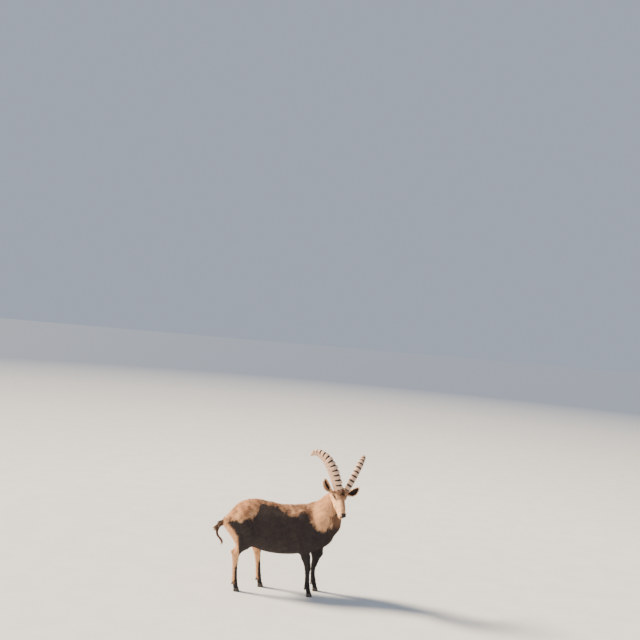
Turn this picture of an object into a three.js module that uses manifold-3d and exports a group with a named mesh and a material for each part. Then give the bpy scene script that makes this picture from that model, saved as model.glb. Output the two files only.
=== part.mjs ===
// A still, life-size alpine ibex: a grown male in moulting summer coat, standing with its head
// turned to its right. Millimetres. +X is forward, +Y is the animal's left, +Z is up, and the claws
// stand at z = 0. The flesh is one smooth field of blended rods, blobs and a lofted trunk. It is meshed
// piece by piece and parted by thin cuts. Horns, ears, eyes and claws are lofts and balls that sit in
// pockets cut to their own shape.
import * as THREE from 'three';
import { mergeVertices } from 'three/addons/utils/BufferGeometryUtils.js';
import Module from 'manifold-3d';

const wasm = await Module();
wasm.setup();

// Driving dimensions
const GAP = 0.3;
const WITHERS = 912;
const FOOT_Y = 100;
const NARROW = 1.2;
const HEAD_PLACE = [615, -220, 1057];
const HEAD_YAW = -73.5;
const HEAD_PITCH = 45;
const HEAD_ROLL = -10;
const HORN_LENGTH = 596;
const HORN_DEPTH = 108;
const HORN_WIDTH = 62;
const HORN_RIDGES = 12;
const EAR_LENGTH = 160;
const EYE_RADIUS = 16.5;
const CLAW_LENGTH = 66;
const CLAW_WIDTH = 28;

// Grid steps of the field meshes
const TRUNK_STEP = [62, 46, 46];
const NECK_STEP = [42, 42, 42];
const HEAD_STEP = [16, 14, 14];
const THIGH_STEP = [30, 28, 36];
const FOREARM_STEP = [20, 20, 30];
const TAIL_STEP = [20, 18, 18];

// Small vector helpers
const radians = (degrees) => degrees * Math.PI / 180;
const clamp = (v, lo, hi) => Math.min(hi, Math.max(lo, v));
const mix = (a, b, t) => a + (b - a) * t;
const plus = (a, b, s = 1) => [a[0] + b[0] * s, a[1] + b[1] * s, a[2] + b[2] * s];
const minus = (a, b) => [a[0] - b[0], a[1] - b[1], a[2] - b[2]];
const times = (a, s) => [a[0] * s, a[1] * s, a[2] * s];
const dot = (a, b) => a[0] * b[0] + a[1] * b[1] + a[2] * b[2];
const length = (a) => Math.hypot(a[0], a[1], a[2]);
const unit = (a) => times(a, 1 / length(a));
const cross = (a, b) => [a[1] * b[2] - a[2] * b[1], a[2] * b[0] - a[0] * b[2], a[0] * b[1] - a[1] * b[0]];
const between = (a, b, t) => plus(a, minus(b, a), t);

// The head's own frame: x along the muzzle, y to the animal's left, z up, origin midway between the eyes
const headTurn = new THREE.Matrix4().makeRotationZ(radians(HEAD_YAW))
  .multiply(new THREE.Matrix4().makeRotationY(radians(HEAD_PITCH)))
  .multiply(new THREE.Matrix4().makeRotationX(radians(HEAD_ROLL)));
const columns = headTurn.elements;
const HEAD_X = [columns[0], columns[1], columns[2]];
const HEAD_Y = [columns[4], columns[5], columns[6]];
const HEAD_Z = [columns[8], columns[9], columns[10]];
const headVector = (v) => plus(plus(times(HEAD_X, v[0]), HEAD_Y, v[1]), HEAD_Z, v[2]);
const fromHead = (p) => plus(HEAD_PLACE, headVector(p));

function toHead(p) {
  const q = minus(p, HEAD_PLACE);
  return [dot(q, HEAD_X), dot(q, HEAD_Y), dot(q, HEAD_Z)];
}

// Field pieces: each gives about the distance to its surface, negative inside
function rod(p, a, b, ra, rb) {
  const ax = b[0] - a[0];
  const ay = b[1] - a[1];
  const az = b[2] - a[2];
  const px = p[0] - a[0];
  const py = p[1] - a[1];
  const pz = p[2] - a[2];
  const t = clamp((px * ax + py * ay + pz * az) / (ax * ax + ay * ay + az * az), 0, 1);
  return Math.hypot(px - ax * t, py - ay * t, pz - az * t) - (ra + (rb - ra) * t);
}

function blob(p, centre, radii, tilt = 0) {
  const dx = p[0] - centre[0];
  const dz = p[2] - centre[2];
  const c = Math.cos(radians(tilt));
  const s = Math.sin(radians(tilt));
  const x = (dx * c + dz * s) / radii[0];
  const y = (p[1] - centre[1]) / radii[1];
  const z = (dz * c - dx * s) / radii[2];
  const near = Math.hypot(x, y, z);
  const slope = Math.hypot(x / radii[0], y / radii[1], z / radii[2]);
  return slope < 1e-9 ? -Math.min(...radii) : near * (near - 1) / slope;
}

function blend(a, b, width) {
  const h = Math.max(width - Math.abs(a - b), 0) / width;
  return Math.min(a, b) - h * h * width / 4;
}

function chain(p, joints, width) {
  let d = 1e9;
  for (let i = 0; i + 1 < joints.length; i += 1) {
    const a = joints[i];
    const b = joints[i + 1];
    d = blend(d, rod(p, a.at, b.at, a.r, b.r), width);
  }
  return d;
}

// Trunk stations from the rump to the chest: x, top and bottom of the section, and its half width
const TRUNK = [
  { x: -528, top: 722, bottom: 628, half: 42 },
  { x: -490, top: 763, bottom: 585, half: 84 },
  { x: -410, top: 860, bottom: 530, half: 132 },
  { x: -320, top: 914, bottom: 478, half: 158 },
  { x: -210, top: 932, bottom: 436, half: 172 },
  { x: -90, top: 918, bottom: 404, half: 185 },
  { x: 40, top: 898, bottom: 392, half: 192 },
  { x: 160, top: 903, bottom: 396, half: 182 },
  { x: 260, top: WITHERS - 6, bottom: 408, half: 158 },
  { x: 350, top: 875, bottom: 424, half: 130 },
  { x: 430, top: 830, bottom: 462, half: 100 },
  { x: 470, top: 790, bottom: 520, half: 70 },
];
const TRUNK_SQUARE = 2.25;
const TRUNK_SKEW = 0.16;

function trunkAt(x) {
  const last = TRUNK.length - 1;
  const xc = clamp(x, TRUNK[0].x, TRUNK[last].x);
  let i = 0;
  while (i < last - 1 && TRUNK[i + 1].x < xc) i += 1;
  const t = (xc - TRUNK[i].x) / (TRUNK[i + 1].x - TRUNK[i].x);
  const smooth = (key) => {
    const slope = (j) => {
      const lo = TRUNK[Math.max(j - 1, 0)];
      const hi = TRUNK[Math.min(j + 1, last)];
      return (hi[key] - lo[key]) / (hi.x - lo.x);
    };
    const span = TRUNK[i + 1].x - TRUNK[i].x;
    const a = TRUNK[i][key];
    const b = TRUNK[i + 1][key];
    const t2 = t * t;
    const t3 = t2 * t;
    return (2 * t3 - 3 * t2 + 1) * a + (t3 - 2 * t2 + t) * span * slope(i)
      + (3 * t2 - 2 * t3) * b + (t3 - t2) * span * slope(i + 1);
  };
  return { xc, top: smooth('top'), bottom: smooth('bottom'), half: smooth('half') };
}

function trunk(p) {
  const { xc, top, bottom, half } = trunkAt(p[0]);
  const centre = (top + bottom) / 2;
  const tall = (top - bottom) / 2;
  const z = p[2] - centre;
  const wide = half * (1 - TRUNK_SKEW * clamp(z / tall, -1.2, 1.2));
  const reach = Math.hypot(p[1], z);
  const powers = Math.abs(p[1] / wide) ** TRUNK_SQUARE + Math.abs(z / tall) ** TRUNK_SQUARE;
  const rho = powers ** (1 / TRUNK_SQUARE);
  const inSection = rho < 1e-6 ? -Math.min(tall, half) : reach - reach / rho;
  const beyond = p[0] - xc;
  return beyond === 0 ? inSection : Math.hypot(Math.max(inSection, 0), beyond);
}

// The trunk, legs and neck are drawn wider than they are, by NARROW, so that round sections come out as
// ovals that are deeper than broad. Leg joints run from the body down, each with its radius. side is -1
// for the right.
const DRAWN_Y = FOOT_Y * NARROW;
const joint = (x, y, z, r) => ({ at: [x, y, z], r });
const LEGS = {
  fore_right: {
    side: -1, fore: true, hoof: [388, -FOOT_Y], seam: 262,
    joints: [joint(302, -112, 500, 62), joint(326, -118, 400, 47), joint(350, -DRAWN_Y, 316, 33),
      joint(356, -DRAWN_Y, 280, 31), joint(357, -DRAWN_Y, 240, 24), joint(360, -DRAWN_Y, 180, 22),
      joint(364, -DRAWN_Y, 108, 27), joint(377, -DRAWN_Y, 68, 23), joint(385, -DRAWN_Y, 34, 27)],
  },
  fore_left: {
    side: 1, fore: true, hoof: [456, FOOT_Y], seam: 262,
    joints: [joint(434, 112, 500, 84), joint(446, 118, 402, 64), joint(436, DRAWN_Y, 316, 35),
      joint(428, DRAWN_Y, 278, 31), joint(421, DRAWN_Y, 240, 24), joint(421, DRAWN_Y, 180, 22),
      joint(431, DRAWN_Y, 108, 27), joint(445, DRAWN_Y, 68, 23), joint(453, DRAWN_Y, 34, 27)],
  },
  hind_right: {
    side: -1, fore: false, hoof: [-356, -FOOT_Y], seam: 318,
    hip: [-345, -72, 765], stifle: [-228, -104, 590], ham: [[-452, -62, 690], [-356, -108, 535]],
    joints: [joint(-228, -112, 575, 80), joint(-298, -120, 485, 57), joint(-362, -122, 418, 38),
      joint(-386, -DRAWN_Y, 374, 36), joint(-388, -DRAWN_Y, 318, 30), joint(-386, -DRAWN_Y, 228, 25),
      joint(-379, -DRAWN_Y, 108, 28), joint(-367, -DRAWN_Y, 68, 24), joint(-359, -DRAWN_Y, 34, 27)],
  },
  hind_left: {
    side: 1, fore: false, hoof: [-119, FOOT_Y], seam: 318,
    hip: [-335, 72, 765], stifle: [-150, 104, 640], ham: [[-445, 62, 690], [-262, 108, 560]],
    joints: [joint(-138, 114, 628, 80), joint(-158, 120, 510, 57), joint(-170, 122, 420, 38),
      joint(-176, DRAWN_Y, 374, 36), joint(-170, DRAWN_Y, 318, 30), joint(-157, DRAWN_Y, 228, 25),
      joint(-143, DRAWN_Y, 108, 28), joint(-131, DRAWN_Y, 68, 24), joint(-122, DRAWN_Y, 34, 27)],
  },
};

function legField(p, leg) {
  let d = chain(p, leg.joints, 22);
  const s = leg.side;
  if (leg.fore) {
    const elbow = leg.joints[0].at;
    d = blend(d, rod(p, [elbow[0] - 34, elbow[1], elbow[2] + 18], leg.joints[1].at, 24, 28), 30);
    d = blend(d, rod(p, [elbow[0] + 80, s * 100, 575], elbow, 66, 50), 50);
    d = blend(d, rod(p, [268, s * 78, 830], [elbow[0] + 84, s * 102, 600], 58, 66), 60);
    d = blend(d, rod(p, [212, s * 92, 700], [elbow[0], s * 108, 520], 66, 50), 60);
    return d;
  }
  const hock = leg.joints[3].at;
  const point = [hock[0] - 38, hock[1], hock[2] + 24];
  const web = [hock[0] + 26, hock[1], hock[2] + 96];
  d = blend(d, rod(p, leg.hip, leg.stifle, 108, 92), 60);
  d = blend(d, rod(p, leg.ham[0], leg.ham[1], 76, 66), 60);
  d = blend(d, rod(p, point, web, 13, 22), 16);
  d = blend(d, rod(p, web, leg.ham[1], 22, 52), 40);
  d = blend(d, rod(p, point, leg.joints[4].at, 14, 20), 20);
  return d;
}

function neckField(p) {
  const front = chain(p, [joint(380, 0, 640, 168), joint(428, -14, 648, 154), joint(498, -43, 768, 150),
    joint(556, -106, 960, 104), joint(588, -142, 1040, 76)], 60);
  const crest = chain(p, [joint(285, 0, 805, 88), joint(400, -17, 872, 82), joint(478, -58, 917, 75),
    joint(556, -118, 996, 62)], 50);
  return blend(front, crest, 60);
}

// The head's field, mirrored about its middle plane
function headField(p) {
  const q = toHead(p);
  const m = [q[0], Math.abs(q[1]), q[2]];
  let d = blob(m, [-54, 0, 4], [82, 58, 60]);
  d = blend(d, blob(m, [-18, 0, 18], [58, 54, 42]), 24);
  d = blend(d, rod(m, [-40, 28, 20], [-39, 34, 52], 38, 33), 22);
  d = blend(d, blob(m, [-4, 46, 6], [34, 23, 26]), 16);
  d = blend(d, rod(m, [8, 0, 1], [136, 0, -9], 45, 34), 24);
  d = blend(d, rod(m, [-46, 26, -38], [62, 17, -44], 39, 34), 24);
  d = blend(d, rod(m, [-66, 28, -60], [54, 14, -70], 31, 27), 22);
  d = blend(d, rod(m, [52, 12, -66], [178, 0, -69], 28, 19), 18);
  d = blend(d, rod(m, [112, 13, -24], [172, 12, -27], 33, 30), 18);
  d = blend(d, blob(m, [193, 0, -22], [25, 33, 25]), 24);
  d = blend(d, blob(m, [176, 14, -43], [32, 22, 17]), 10);
  d = blend(d, blob(m, [184, 0, -66], [26, 20, 14]), 10);
  return d;
}

function bodyField(p) {
  const drawn = [p[0], p[1] * NARROW, p[2]];
  let d = trunk(drawn);
  for (const leg of Object.values(LEGS)) {
    d = blend(d, legField(drawn, leg), 55);
  }
  return blend(d, neckField(drawn), 70);
}

const fleshField = (p) => blend(bodyField(p), headField(p), 34);

const TAIL_ROOT = [-500, 0, 705];
const TAIL_BEND = [-572, 0, 652];
const TAIL_TIP = [-628, 0, 600];
const TAIL_JOINTS = [joint(...TAIL_ROOT, 34), joint(...TAIL_BEND, 26), joint(...TAIL_TIP, 13)];
const tailField = (p) => chain(p, TAIL_JOINTS, 30);
const wholeField = (p) => blend(fleshField(p), tailField(p), 26);

function gradient(field, p, step = 1) {
  const along = (axis) => {
    const hi = [...p];
    const lo = [...p];
    hi[axis] += step;
    lo[axis] -= step;
    return field(hi) - field(lo);
  };
  return times([along(0), along(1), along(2)], 1 / (2 * step));
}

// One step towards the field's level surface
function settle(field, p, level = 0) {
  const g = gradient(field, p);
  const size = Math.max(dot(g, g), 1e-6);
  return plus(p, g, (level - field(p)) / size);
}

// The field's surface from a point inside it along a direction
const HALVINGS = 30;

function reachFrom(start, direction, reach, field) {
  let lo = 0;
  let hi = reach;
  for (let i = 0; i < HALVINGS; i += 1) {
    const middle = (lo + hi) / 2;
    if (field(plus(start, direction, middle)) < 0) {
      lo = middle;
    } else {
      hi = middle;
    }
  }
  return plus(start, direction, lo);
}

// Meshes the field inside a box with one vertex in each cell that the surface crosses. The steps are
// the cell's three sides, and place turns a point of the grid into a point of the model. A vertex moves
// no further than MAX_SETTLE steps from the middle of its cell's crossings.
const MAX_SETTLE = 0.45;

function meshField(field, lo, hi, steps, place = (p) => p) {
  const n = [0, 1, 2].map((k) => Math.ceil((hi[k] - lo[k]) / steps[k]) + 1);
  const at = (i, j, k) => place([lo[0] + i * steps[0], lo[1] + j * steps[1], lo[2] + k * steps[2]]);
  const step = Math.min(...steps);
  const index = (i, j, k) => (k * n[1] + j) * n[0] + i;
  const value = new Float64Array(n[0] * n[1] * n[2]);
  for (let k = 0; k < n[2]; k += 1) {
    for (let j = 0; j < n[1]; j += 1) {
      for (let i = 0; i < n[0]; i += 1) {
        const edge = i === 0 || j === 0 || k === 0 || i === n[0] - 1 || j === n[1] - 1 || k === n[2] - 1;
        const v = field(at(i, j, k));
        value[index(i, j, k)] = edge ? Math.max(v, step * 0.5) : v;
      }
    }
  }
  const cellVertex = new Map();
  const positions = [];
  const vertexOf = (i, j, k) => {
    const key = index(i, j, k);
    if (cellVertex.has(key)) return cellVertex.get(key);
    let sum = [0, 0, 0];
    let count = 0;
    for (let axis = 0; axis < 3; axis += 1) {
      for (let corner = 0; corner < 4; corner += 1) {
        const a = [i, j, k];
        a[(axis + 1) % 3] += corner & 1;
        a[(axis + 2) % 3] += corner >> 1;
        const b = [...a];
        b[axis] += 1;
        const va = value[index(...a)];
        const vb = value[index(...b)];
        if ((va < 0) !== (vb < 0)) {
          sum = plus(sum, between(at(...a), at(...b), va / (va - vb)));
          count += 1;
        }
      }
    }
    let p = times(sum, 1 / count);
    const start = p;
    p = settle(field, p);
    p = settle(field, p);
    const moved = minus(p, start);
    const far = length(moved);
    if (far > step * MAX_SETTLE) p = plus(start, moved, step * MAX_SETTLE / far);
    positions.push(...p);
    cellVertex.set(key, positions.length / 3 - 1);
    return positions.length / 3 - 1;
  };
  const triangles = [];
  const point = (v) => positions.slice(3 * v, 3 * v + 3);
  const quad = (a, b, c, d) => {
    if (length(minus(point(a), point(c))) < length(minus(point(b), point(d)))) {
      triangles.push(a, b, c, a, c, d);
    } else {
      triangles.push(b, c, d, b, d, a);
    }
  };
  for (let k = 0; k < n[2] - 1; k += 1) {
    for (let j = 0; j < n[1] - 1; j += 1) {
      for (let i = 0; i < n[0] - 1; i += 1) {
        for (let axis = 0; axis < 3; axis += 1) {
          const from = [i, j, k];
          const to = [i, j, k];
          to[axis] += 1;
          const inFrom = value[index(...from)] < 0;
          const inTo = value[index(...to)] < 0;
          if (inFrom === inTo) continue;
          const u = (axis + 1) % 3;
          const v = (axis + 2) % 3;
          const cell = (du, dv) => {
            const c = [...from];
            c[u] -= du;
            c[v] -= dv;
            return vertexOf(...c);
          };
          const ring = [cell(1, 1), cell(0, 1), cell(0, 0), cell(1, 0)];
          if (inTo) ring.reverse();
          quad(...ring);
        }
      }
    }
  }
  return solidFrom(positions, triangles);
}

// Solids
function solidFrom(positions, triangles) {
  return new wasm.Manifold(new wasm.Mesh({
    numProp: 3,
    vertProperties: new Float32Array(positions),
    triVerts: new Uint32Array(triangles),
  }));
}

function solidOf(geometry, matrix = new THREE.Matrix4()) {
  const bare = geometry.clone().applyMatrix4(matrix);
  bare.deleteAttribute('normal');
  bare.deleteAttribute('uv');
  const merged = mergeVertices(bare, 1e-4);
  return solidFrom(merged.attributes.position.array, merged.index.array);
}

function largest(solid) {
  const pieces = solid.decompose();
  return pieces.reduce((best, piece) => (piece.volume() > best.volume() ? piece : best), pieces[0]);
}

const BIG = 4000;

// Places a shape's own axis along a direction, with its middle at a centre
function turnedTo(axis, direction, centre) {
  const turn = new THREE.Quaternion().setFromUnitVectors(axis, new THREE.Vector3(...direction));
  return new THREE.Matrix4().compose(new THREE.Vector3(...centre), turn, new THREE.Vector3(1, 1, 1));
}

// Everything on the far side of a plane, as one big block that starts at the plane moved by an offset
function beyondPlane(point, normal, offset = 0) {
  const n = unit(normal);
  const matrix = turnedTo(new THREE.Vector3(0, 0, 1), n, plus(point, n, BIG / 2 + offset));
  return solidOf(new THREE.BoxGeometry(BIG, BIG, BIG), matrix);
}

// Keeps what lies behind each seam plane, half a gap short of it
function trimmed(solid, planes) {
  const cut = (left, [point, normal]) => left.subtract(beyondPlane(point, normal, -GAP / 2));
  return planes.reduce(cut, solid);
}

function block(lo, hi, grow = 0) {
  const size = minus(hi, lo).map((v) => v + 2 * grow);
  const matrix = new THREE.Matrix4().makeTranslation(...between(lo, hi, 0.5));
  return solidOf(new THREE.BoxGeometry(...size), matrix);
}

// A closed loft through rings of points. Rings run anticlockwise seen from the end towards the start.
function loft(rings, capStart = 'centre', capEnd = 'centre') {
  const positions = [];
  const triangles = [];
  const starts = rings.map((ring) => {
    const start = positions.length / 3;
    for (const p of ring) positions.push(...p);
    return start;
  });
  for (let r = 0; r + 1 < rings.length; r += 1) {
    const n = rings[r].length;
    for (let i = 0; i < n; i += 1) {
      const a = starts[r] + i;
      const b = starts[r] + (i + 1) % n;
      if (rings[r + 1].length === 1) {
        triangles.push(a, b, starts[r + 1]);
        continue;
      }
      const c = starts[r + 1] + (i + 1) % n;
      const d = starts[r + 1] + i;
      triangles.push(a, b, c, a, c, d);
    }
  }
  const cap = (ring, start, kind, flip) => {
    const n = ring.length;
    if (n === 1) return;
    const add = (a, b, c) => triangles.push(...(flip ? [c, b, a] : [a, b, c]));
    if (kind === 'strip') {
      for (let i = 0; i < n / 2 - 1; i += 1) {
        add(start + i, start + i + 1, start + n - 2 - i);
        add(start + i, start + n - 2 - i, start + n - 1 - i);
      }
      return;
    }
    const centre = times(ring.reduce((sum, p) => plus(sum, p), [0, 0, 0]), 1 / n);
    positions.push(...centre);
    const middle = positions.length / 3 - 1;
    for (let i = 0; i < n; i += 1) add(start + i, start + (i + 1) % n, middle);
  };
  cap(rings[0], starts[0], capStart, true);
  cap(rings[rings.length - 1], starts[rings.length - 1], capEnd, false);
  const solid = solidFrom(positions, triangles);
  if (solid.volume() >= 0) return solid;
  const turned = [];
  for (let i = 0; i < triangles.length; i += 3) {
    turned.push(triangles[i], triangles[i + 2], triangles[i + 1]);
  }
  return solidFrom(positions, turned);
}

function ball(centre, radius, around = 12, down = 8) {
  const matrix = new THREE.Matrix4().makeTranslation(...centre);
  return solidOf(new THREE.SphereGeometry(radius, around, down), matrix);
}

// Horns: a curve that turns back in one leaning plane, with knobbed ridges across its front
const HORN_ROOT = [-37, 45, 56];
const HORN_RISE = 137;
const HORN_SPREAD = { right: 26.6, left: 22 };
const HORN_LEAN = { right: 26.3, left: 31 };
const HORN_TURN = 138;
const HORN_BACKLOAD = 1.23;
const HORN_TWIST = -0.12;
const HORN_SUNK = 16;
const HORN_BASE_SHARE = 0.86;
const HORN_FULL_AT = 0.34;
const HORN_THINS_FROM = 0.42;
const HORN_TIP_LOSS = 0.88;
const HORN_BACK_SWELL = 0.26;
const HORN_SIDES = 10;
const HORN_POCKET_STATIONS = 6;
const RIDGE_HEIGHT = 11;
const RIDGES_START = 40;
const RIDGES_END = 528;

function hornFrame(side) {
  const word = side < 0 ? 'right' : 'left';
  const rise = radians(HORN_RISE);
  const up = [Math.cos(rise), 0, Math.sin(rise)];
  const back = [-Math.sin(rise), 0, Math.cos(rise)];
  const out = [0, side, 0];
  const spread = radians(HORN_SPREAD[word]);
  const lean = radians(HORN_LEAN[word]);
  const start = plus(times(up, Math.cos(spread)), out, Math.sin(spread));
  const sideways = plus(times(out, Math.cos(spread)), up, -Math.sin(spread));
  const bend = plus(times(back, Math.cos(lean)), sideways, Math.sin(lean));
  const aside = plus(times(sideways, Math.cos(lean)), back, -Math.sin(lean));
  return { start, bend, aside };
}

function hornAt(side, s) {
  const { start, bend, aside } = hornFrame(side);
  const turnAt = (x) => radians(HORN_TURN) * ((1 - HORN_BACKLOAD) * x + HORN_BACKLOAD * x * x);
  const steps = 60;
  let p = [HORN_ROOT[0], side * HORN_ROOT[1], HORN_ROOT[2]];
  const direction = (x) => {
    const inPlane = plus(times(start, Math.cos(turnAt(x))), bend, Math.sin(turnAt(x)));
    return unit(plus(inPlane, aside, HORN_TWIST * x));
  };
  if (s <= 0) {
    p = plus(p, direction(0), s);
  } else {
    for (let i = 0; i < steps; i += 1) {
      p = plus(p, direction((i + 0.5) / steps * s / HORN_LENGTH), s / steps);
    }
  }
  const along = Math.max(s, 0) / HORN_LENGTH;
  const angle = turnAt(along);
  const inside = plus(times(start, -Math.sin(angle)), bend, Math.cos(angle));
  const across = unit(cross(direction(along), inside));
  return { p, front: times(inside, -1), across };
}

function hornTaper(x) {
  const swell = 1 - (1 - HORN_BASE_SHARE) * (1 - clamp(x / HORN_FULL_AT, 0, 1)) ** 2;
  const thinning = clamp((x - HORN_THINS_FROM) / (1 - HORN_THINS_FROM), 0, 1) ** 1.7;
  return Math.max(swell * (1 - HORN_TIP_LOSS * thinning), 0.05);
}

function ridgeAt(s) {
  if (s < RIDGES_START - 20 || s > RIDGES_END + 12) return 0;
  const x = (s - RIDGES_START) / (RIDGES_END - RIDGES_START);
  const count = (HORN_RIDGES - 1) * (x < 0 ? x : x ** 1.12);
  const off = count - Math.round(count);
  const swell = clamp((0.42 - Math.abs(off)) / 0.2, 0, 1);
  return swell * RIDGE_HEIGHT * (1 - 0.55 * clamp(x, 0, 1));
}

function hornRing(side, s, grow = 0) {
  const { p, front, across } = hornAt(side, s);
  const along = Math.max(s, 0) / HORN_LENGTH;
  const size = hornTaper(along);
  const back = 1 + HORN_BACK_SWELL * clamp(along / HORN_FULL_AT, 0, 1);
  const ridge = ridgeAt(s);
  const ring = [];
  for (let i = 0; i < HORN_SIDES; i += 1) {
    const angle = 2 * Math.PI * (i + 0.5) / HORN_SIDES;
    const c = Math.cos(angle);
    const w = Math.sin(angle);
    const face = Math.sign(c) * Math.abs(c) ** 0.8;
    const knob = ridge * clamp(c * 1.6, 0, 1);
    const deep = face * (HORN_DEPTH / 2 * size * (face < 0 ? back : 1) + grow) + knob;
    const wide = w * (HORN_WIDTH / 2 * size * (1 + 0.16 * c) + grow + 0.35 * knob);
    ring.push(plus(plus(p, front, deep), across, wide));
  }
  return ring.map(fromHead);
}

function hornStations() {
  const stations = [-HORN_SUNK, 0, 22];
  for (let i = 0; i < HORN_RIDGES; i += 1) {
    const centre = (off) => {
      const x = Math.max((i + off) / (HORN_RIDGES - 1), 0) ** (1 / 1.12);
      const shift = i + off < 0 ? (i + off) / (HORN_RIDGES - 1) : x;
      return RIDGES_START + shift * (RIDGES_END - RIDGES_START);
    };
    stations.push(centre(-0.2), centre(0.2), centre(0.5));
  }
  return [...stations.filter((s) => s < RIDGES_END + 14), 562, 590];
}

function horn(side) {
  const rings = hornStations().map((s) => hornRing(side, s));
  rings.push([fromHead(hornAt(side, HORN_LENGTH).p)]);
  return loft(rings);
}

function hornPocket(side) {
  const stations = [-HORN_SUNK - GAP, ...hornStations().slice(1, HORN_POCKET_STATIONS)];
  return loft(stations.map((s) => hornRing(side, s, GAP)));
}

// Ears: a cup of C shaped sections that opens forward and out, closed to a tube at its root
const EAR_ROOT = [-70, 71, -22];
const EAR_AIM = {
  right: { side: -1, rise: 126, out: 44, facing: [0.66, -0.5, 0.5], sag: [0.5, -0.8, 0] },
  left: { side: 1, rise: 94, out: 48, facing: [0.62, -0.3, 0.7], sag: [0.8, 0.8, -0.2] },
};
const EAR_STATIONS = [
  { t: 0, outer: 17, inner: 3, half: 158 },
  { t: 0.14, outer: 20, inner: 7, half: 150 },
  { t: 0.27, outer: 27, inner: 20, half: 132 },
  { t: 0.42, outer: 33, inner: 28, half: 115 },
  { t: 0.58, outer: 34, inner: 29.4, half: 102 },
  { t: 0.74, outer: 31, inner: 27, half: 90 },
  { t: 0.88, outer: 23, inner: 19.6, half: 78 },
  { t: 0.97, outer: 12.5, inner: 10, half: 64 },
  { t: 1.0, outer: 7, inner: 5.2, half: 48 },
];
const EAR_POINTS = 7;
const EAR_BOW = 10;
const EAR_SAG = 24;
const EAR_TIP_BACK = 8;
const EAR_POCKET_SIDES = 12;

function earFrame({ side, rise: riseDegrees, out: outDegrees, facing, sag }) {
  const rise = radians(riseDegrees);
  const out = radians(outDegrees);
  const along = [Math.cos(rise) * Math.cos(out), side * Math.sin(out), Math.sin(rise) * Math.cos(out)];
  const open = unit(plus(facing, along, -dot(facing, along)));
  const across = cross(along, open);
  const low = unit(plus(sag, along, -dot(sag, along)));
  return { along, open, across, low };
}

function earSpine(aim, t) {
  const { along, open, low } = earFrame(aim);
  const root = [EAR_ROOT[0], aim.side * EAR_ROOT[1], EAR_ROOT[2]];
  const arch = Math.sin(Math.PI * t);
  const curved = plus(plus(root, along, EAR_LENGTH * t), low, EAR_SAG * arch);
  return plus(curved, open, -EAR_BOW * arch - EAR_TIP_BACK * t);
}

function ear(aim) {
  const { open, across } = earFrame(aim);
  const rings = EAR_STATIONS.map(({ t, outer, inner, half }) => {
    const centre = earSpine(aim, t);
    const arc = (radius, turn) => {
      const points = [];
      for (let i = 0; i < EAR_POINTS; i += 1) {
        const a = radians(mix(-half, half, i / (EAR_POINTS - 1)) * turn);
        points.push(plus(plus(centre, across, radius * Math.sin(a)), open, -radius * Math.cos(a)));
      }
      return points;
    };
    return [...arc(outer, 1), ...arc(inner, -1)].map(fromHead);
  });
  return loft(rings, 'strip', 'strip');
}

function earPocket(aim) {
  const { open, across } = earFrame(aim);
  const rings = [0, 2, 3].map((station) => {
    const { t, outer } = EAR_STATIONS[station];
    const ring = [];
    const centre = earSpine(aim, t === 0 ? -GAP / EAR_LENGTH : t);
    for (let i = 0; i < EAR_POCKET_SIDES; i += 1) {
      const a = 2 * Math.PI * i / EAR_POCKET_SIDES;
      const radius = (outer + GAP) / Math.cos(Math.PI / EAR_POCKET_SIDES) + 0.5;
      ring.push(plus(plus(centre, across, radius * Math.sin(a)), open, -radius * Math.cos(a)));
    }
    return ring.map(fromHead);
  });
  return loft(rings);
}

// Eyes: balls behind almond shaped openings between raised lids
const EYE_PLACE = [2, 48, 5];
const EYE_LOOK = [0.34, 0.93, 0.1];
const LID_THICK = 3.2;
const EYE_OPENING = { half: 15.5, up: 9.5, down: 7.5, canted: 12, sides: 14, from: 2, to: 40 };

const eyeCentre = (side) => fromHead([EYE_PLACE[0], side * EYE_PLACE[1], EYE_PLACE[2]]);

function eyeOpening(side) {
  const look = unit([EYE_LOOK[0], side * EYE_LOOK[1], EYE_LOOK[2]]);
  const level = unit([look[1] * side, -look[0] * side, 0]);
  const cant = radians(EYE_OPENING.canted);
  const upright = cross(look, level).map((v) => v * side * (side > 0 ? -1 : 1));
  const up = upright[2] > 0 ? upright : times(upright, -1);
  const along = plus(times(level, Math.cos(cant)), up, -Math.sin(cant));
  const rise = plus(times(up, Math.cos(cant)), level, Math.sin(cant));
  const centre = [EYE_PLACE[0], side * EYE_PLACE[1], EYE_PLACE[2]];
  const ringAt = (depth) => {
    const ring = [];
    for (let i = 0; i < EYE_OPENING.sides; i += 1) {
      const a = 2 * Math.PI * i / EYE_OPENING.sides;
      const tall = Math.sin(a) > 0 ? EYE_OPENING.up : EYE_OPENING.down;
      const x = Math.cos(a) * EYE_OPENING.half;
      const z = Math.sin(a) * Math.abs(Math.sin(a)) ** 0.25 * tall;
      ring.push(fromHead(plus(plus(plus(centre, look, depth), along, x), rise, z)));
    }
    return ring;
  };
  return loft([ringAt(EYE_OPENING.from), ringAt(EYE_OPENING.to)]);
}

// Mouth: a shallow groove round the muzzle between the lips
const MOUTH_CENTRE = [148, 0, -51];
const MOUTH_HALF_TURN = 126;
const MOUTH_STEPS = 14;
const MOUTH_DEEP = 5;
const MOUTH_TALL = 1.5;
const MOUTH_END_DEEP = 1.2;
const MOUTH_END_TALL = 0.6;
const MOUTH_REACH = 80;

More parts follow.
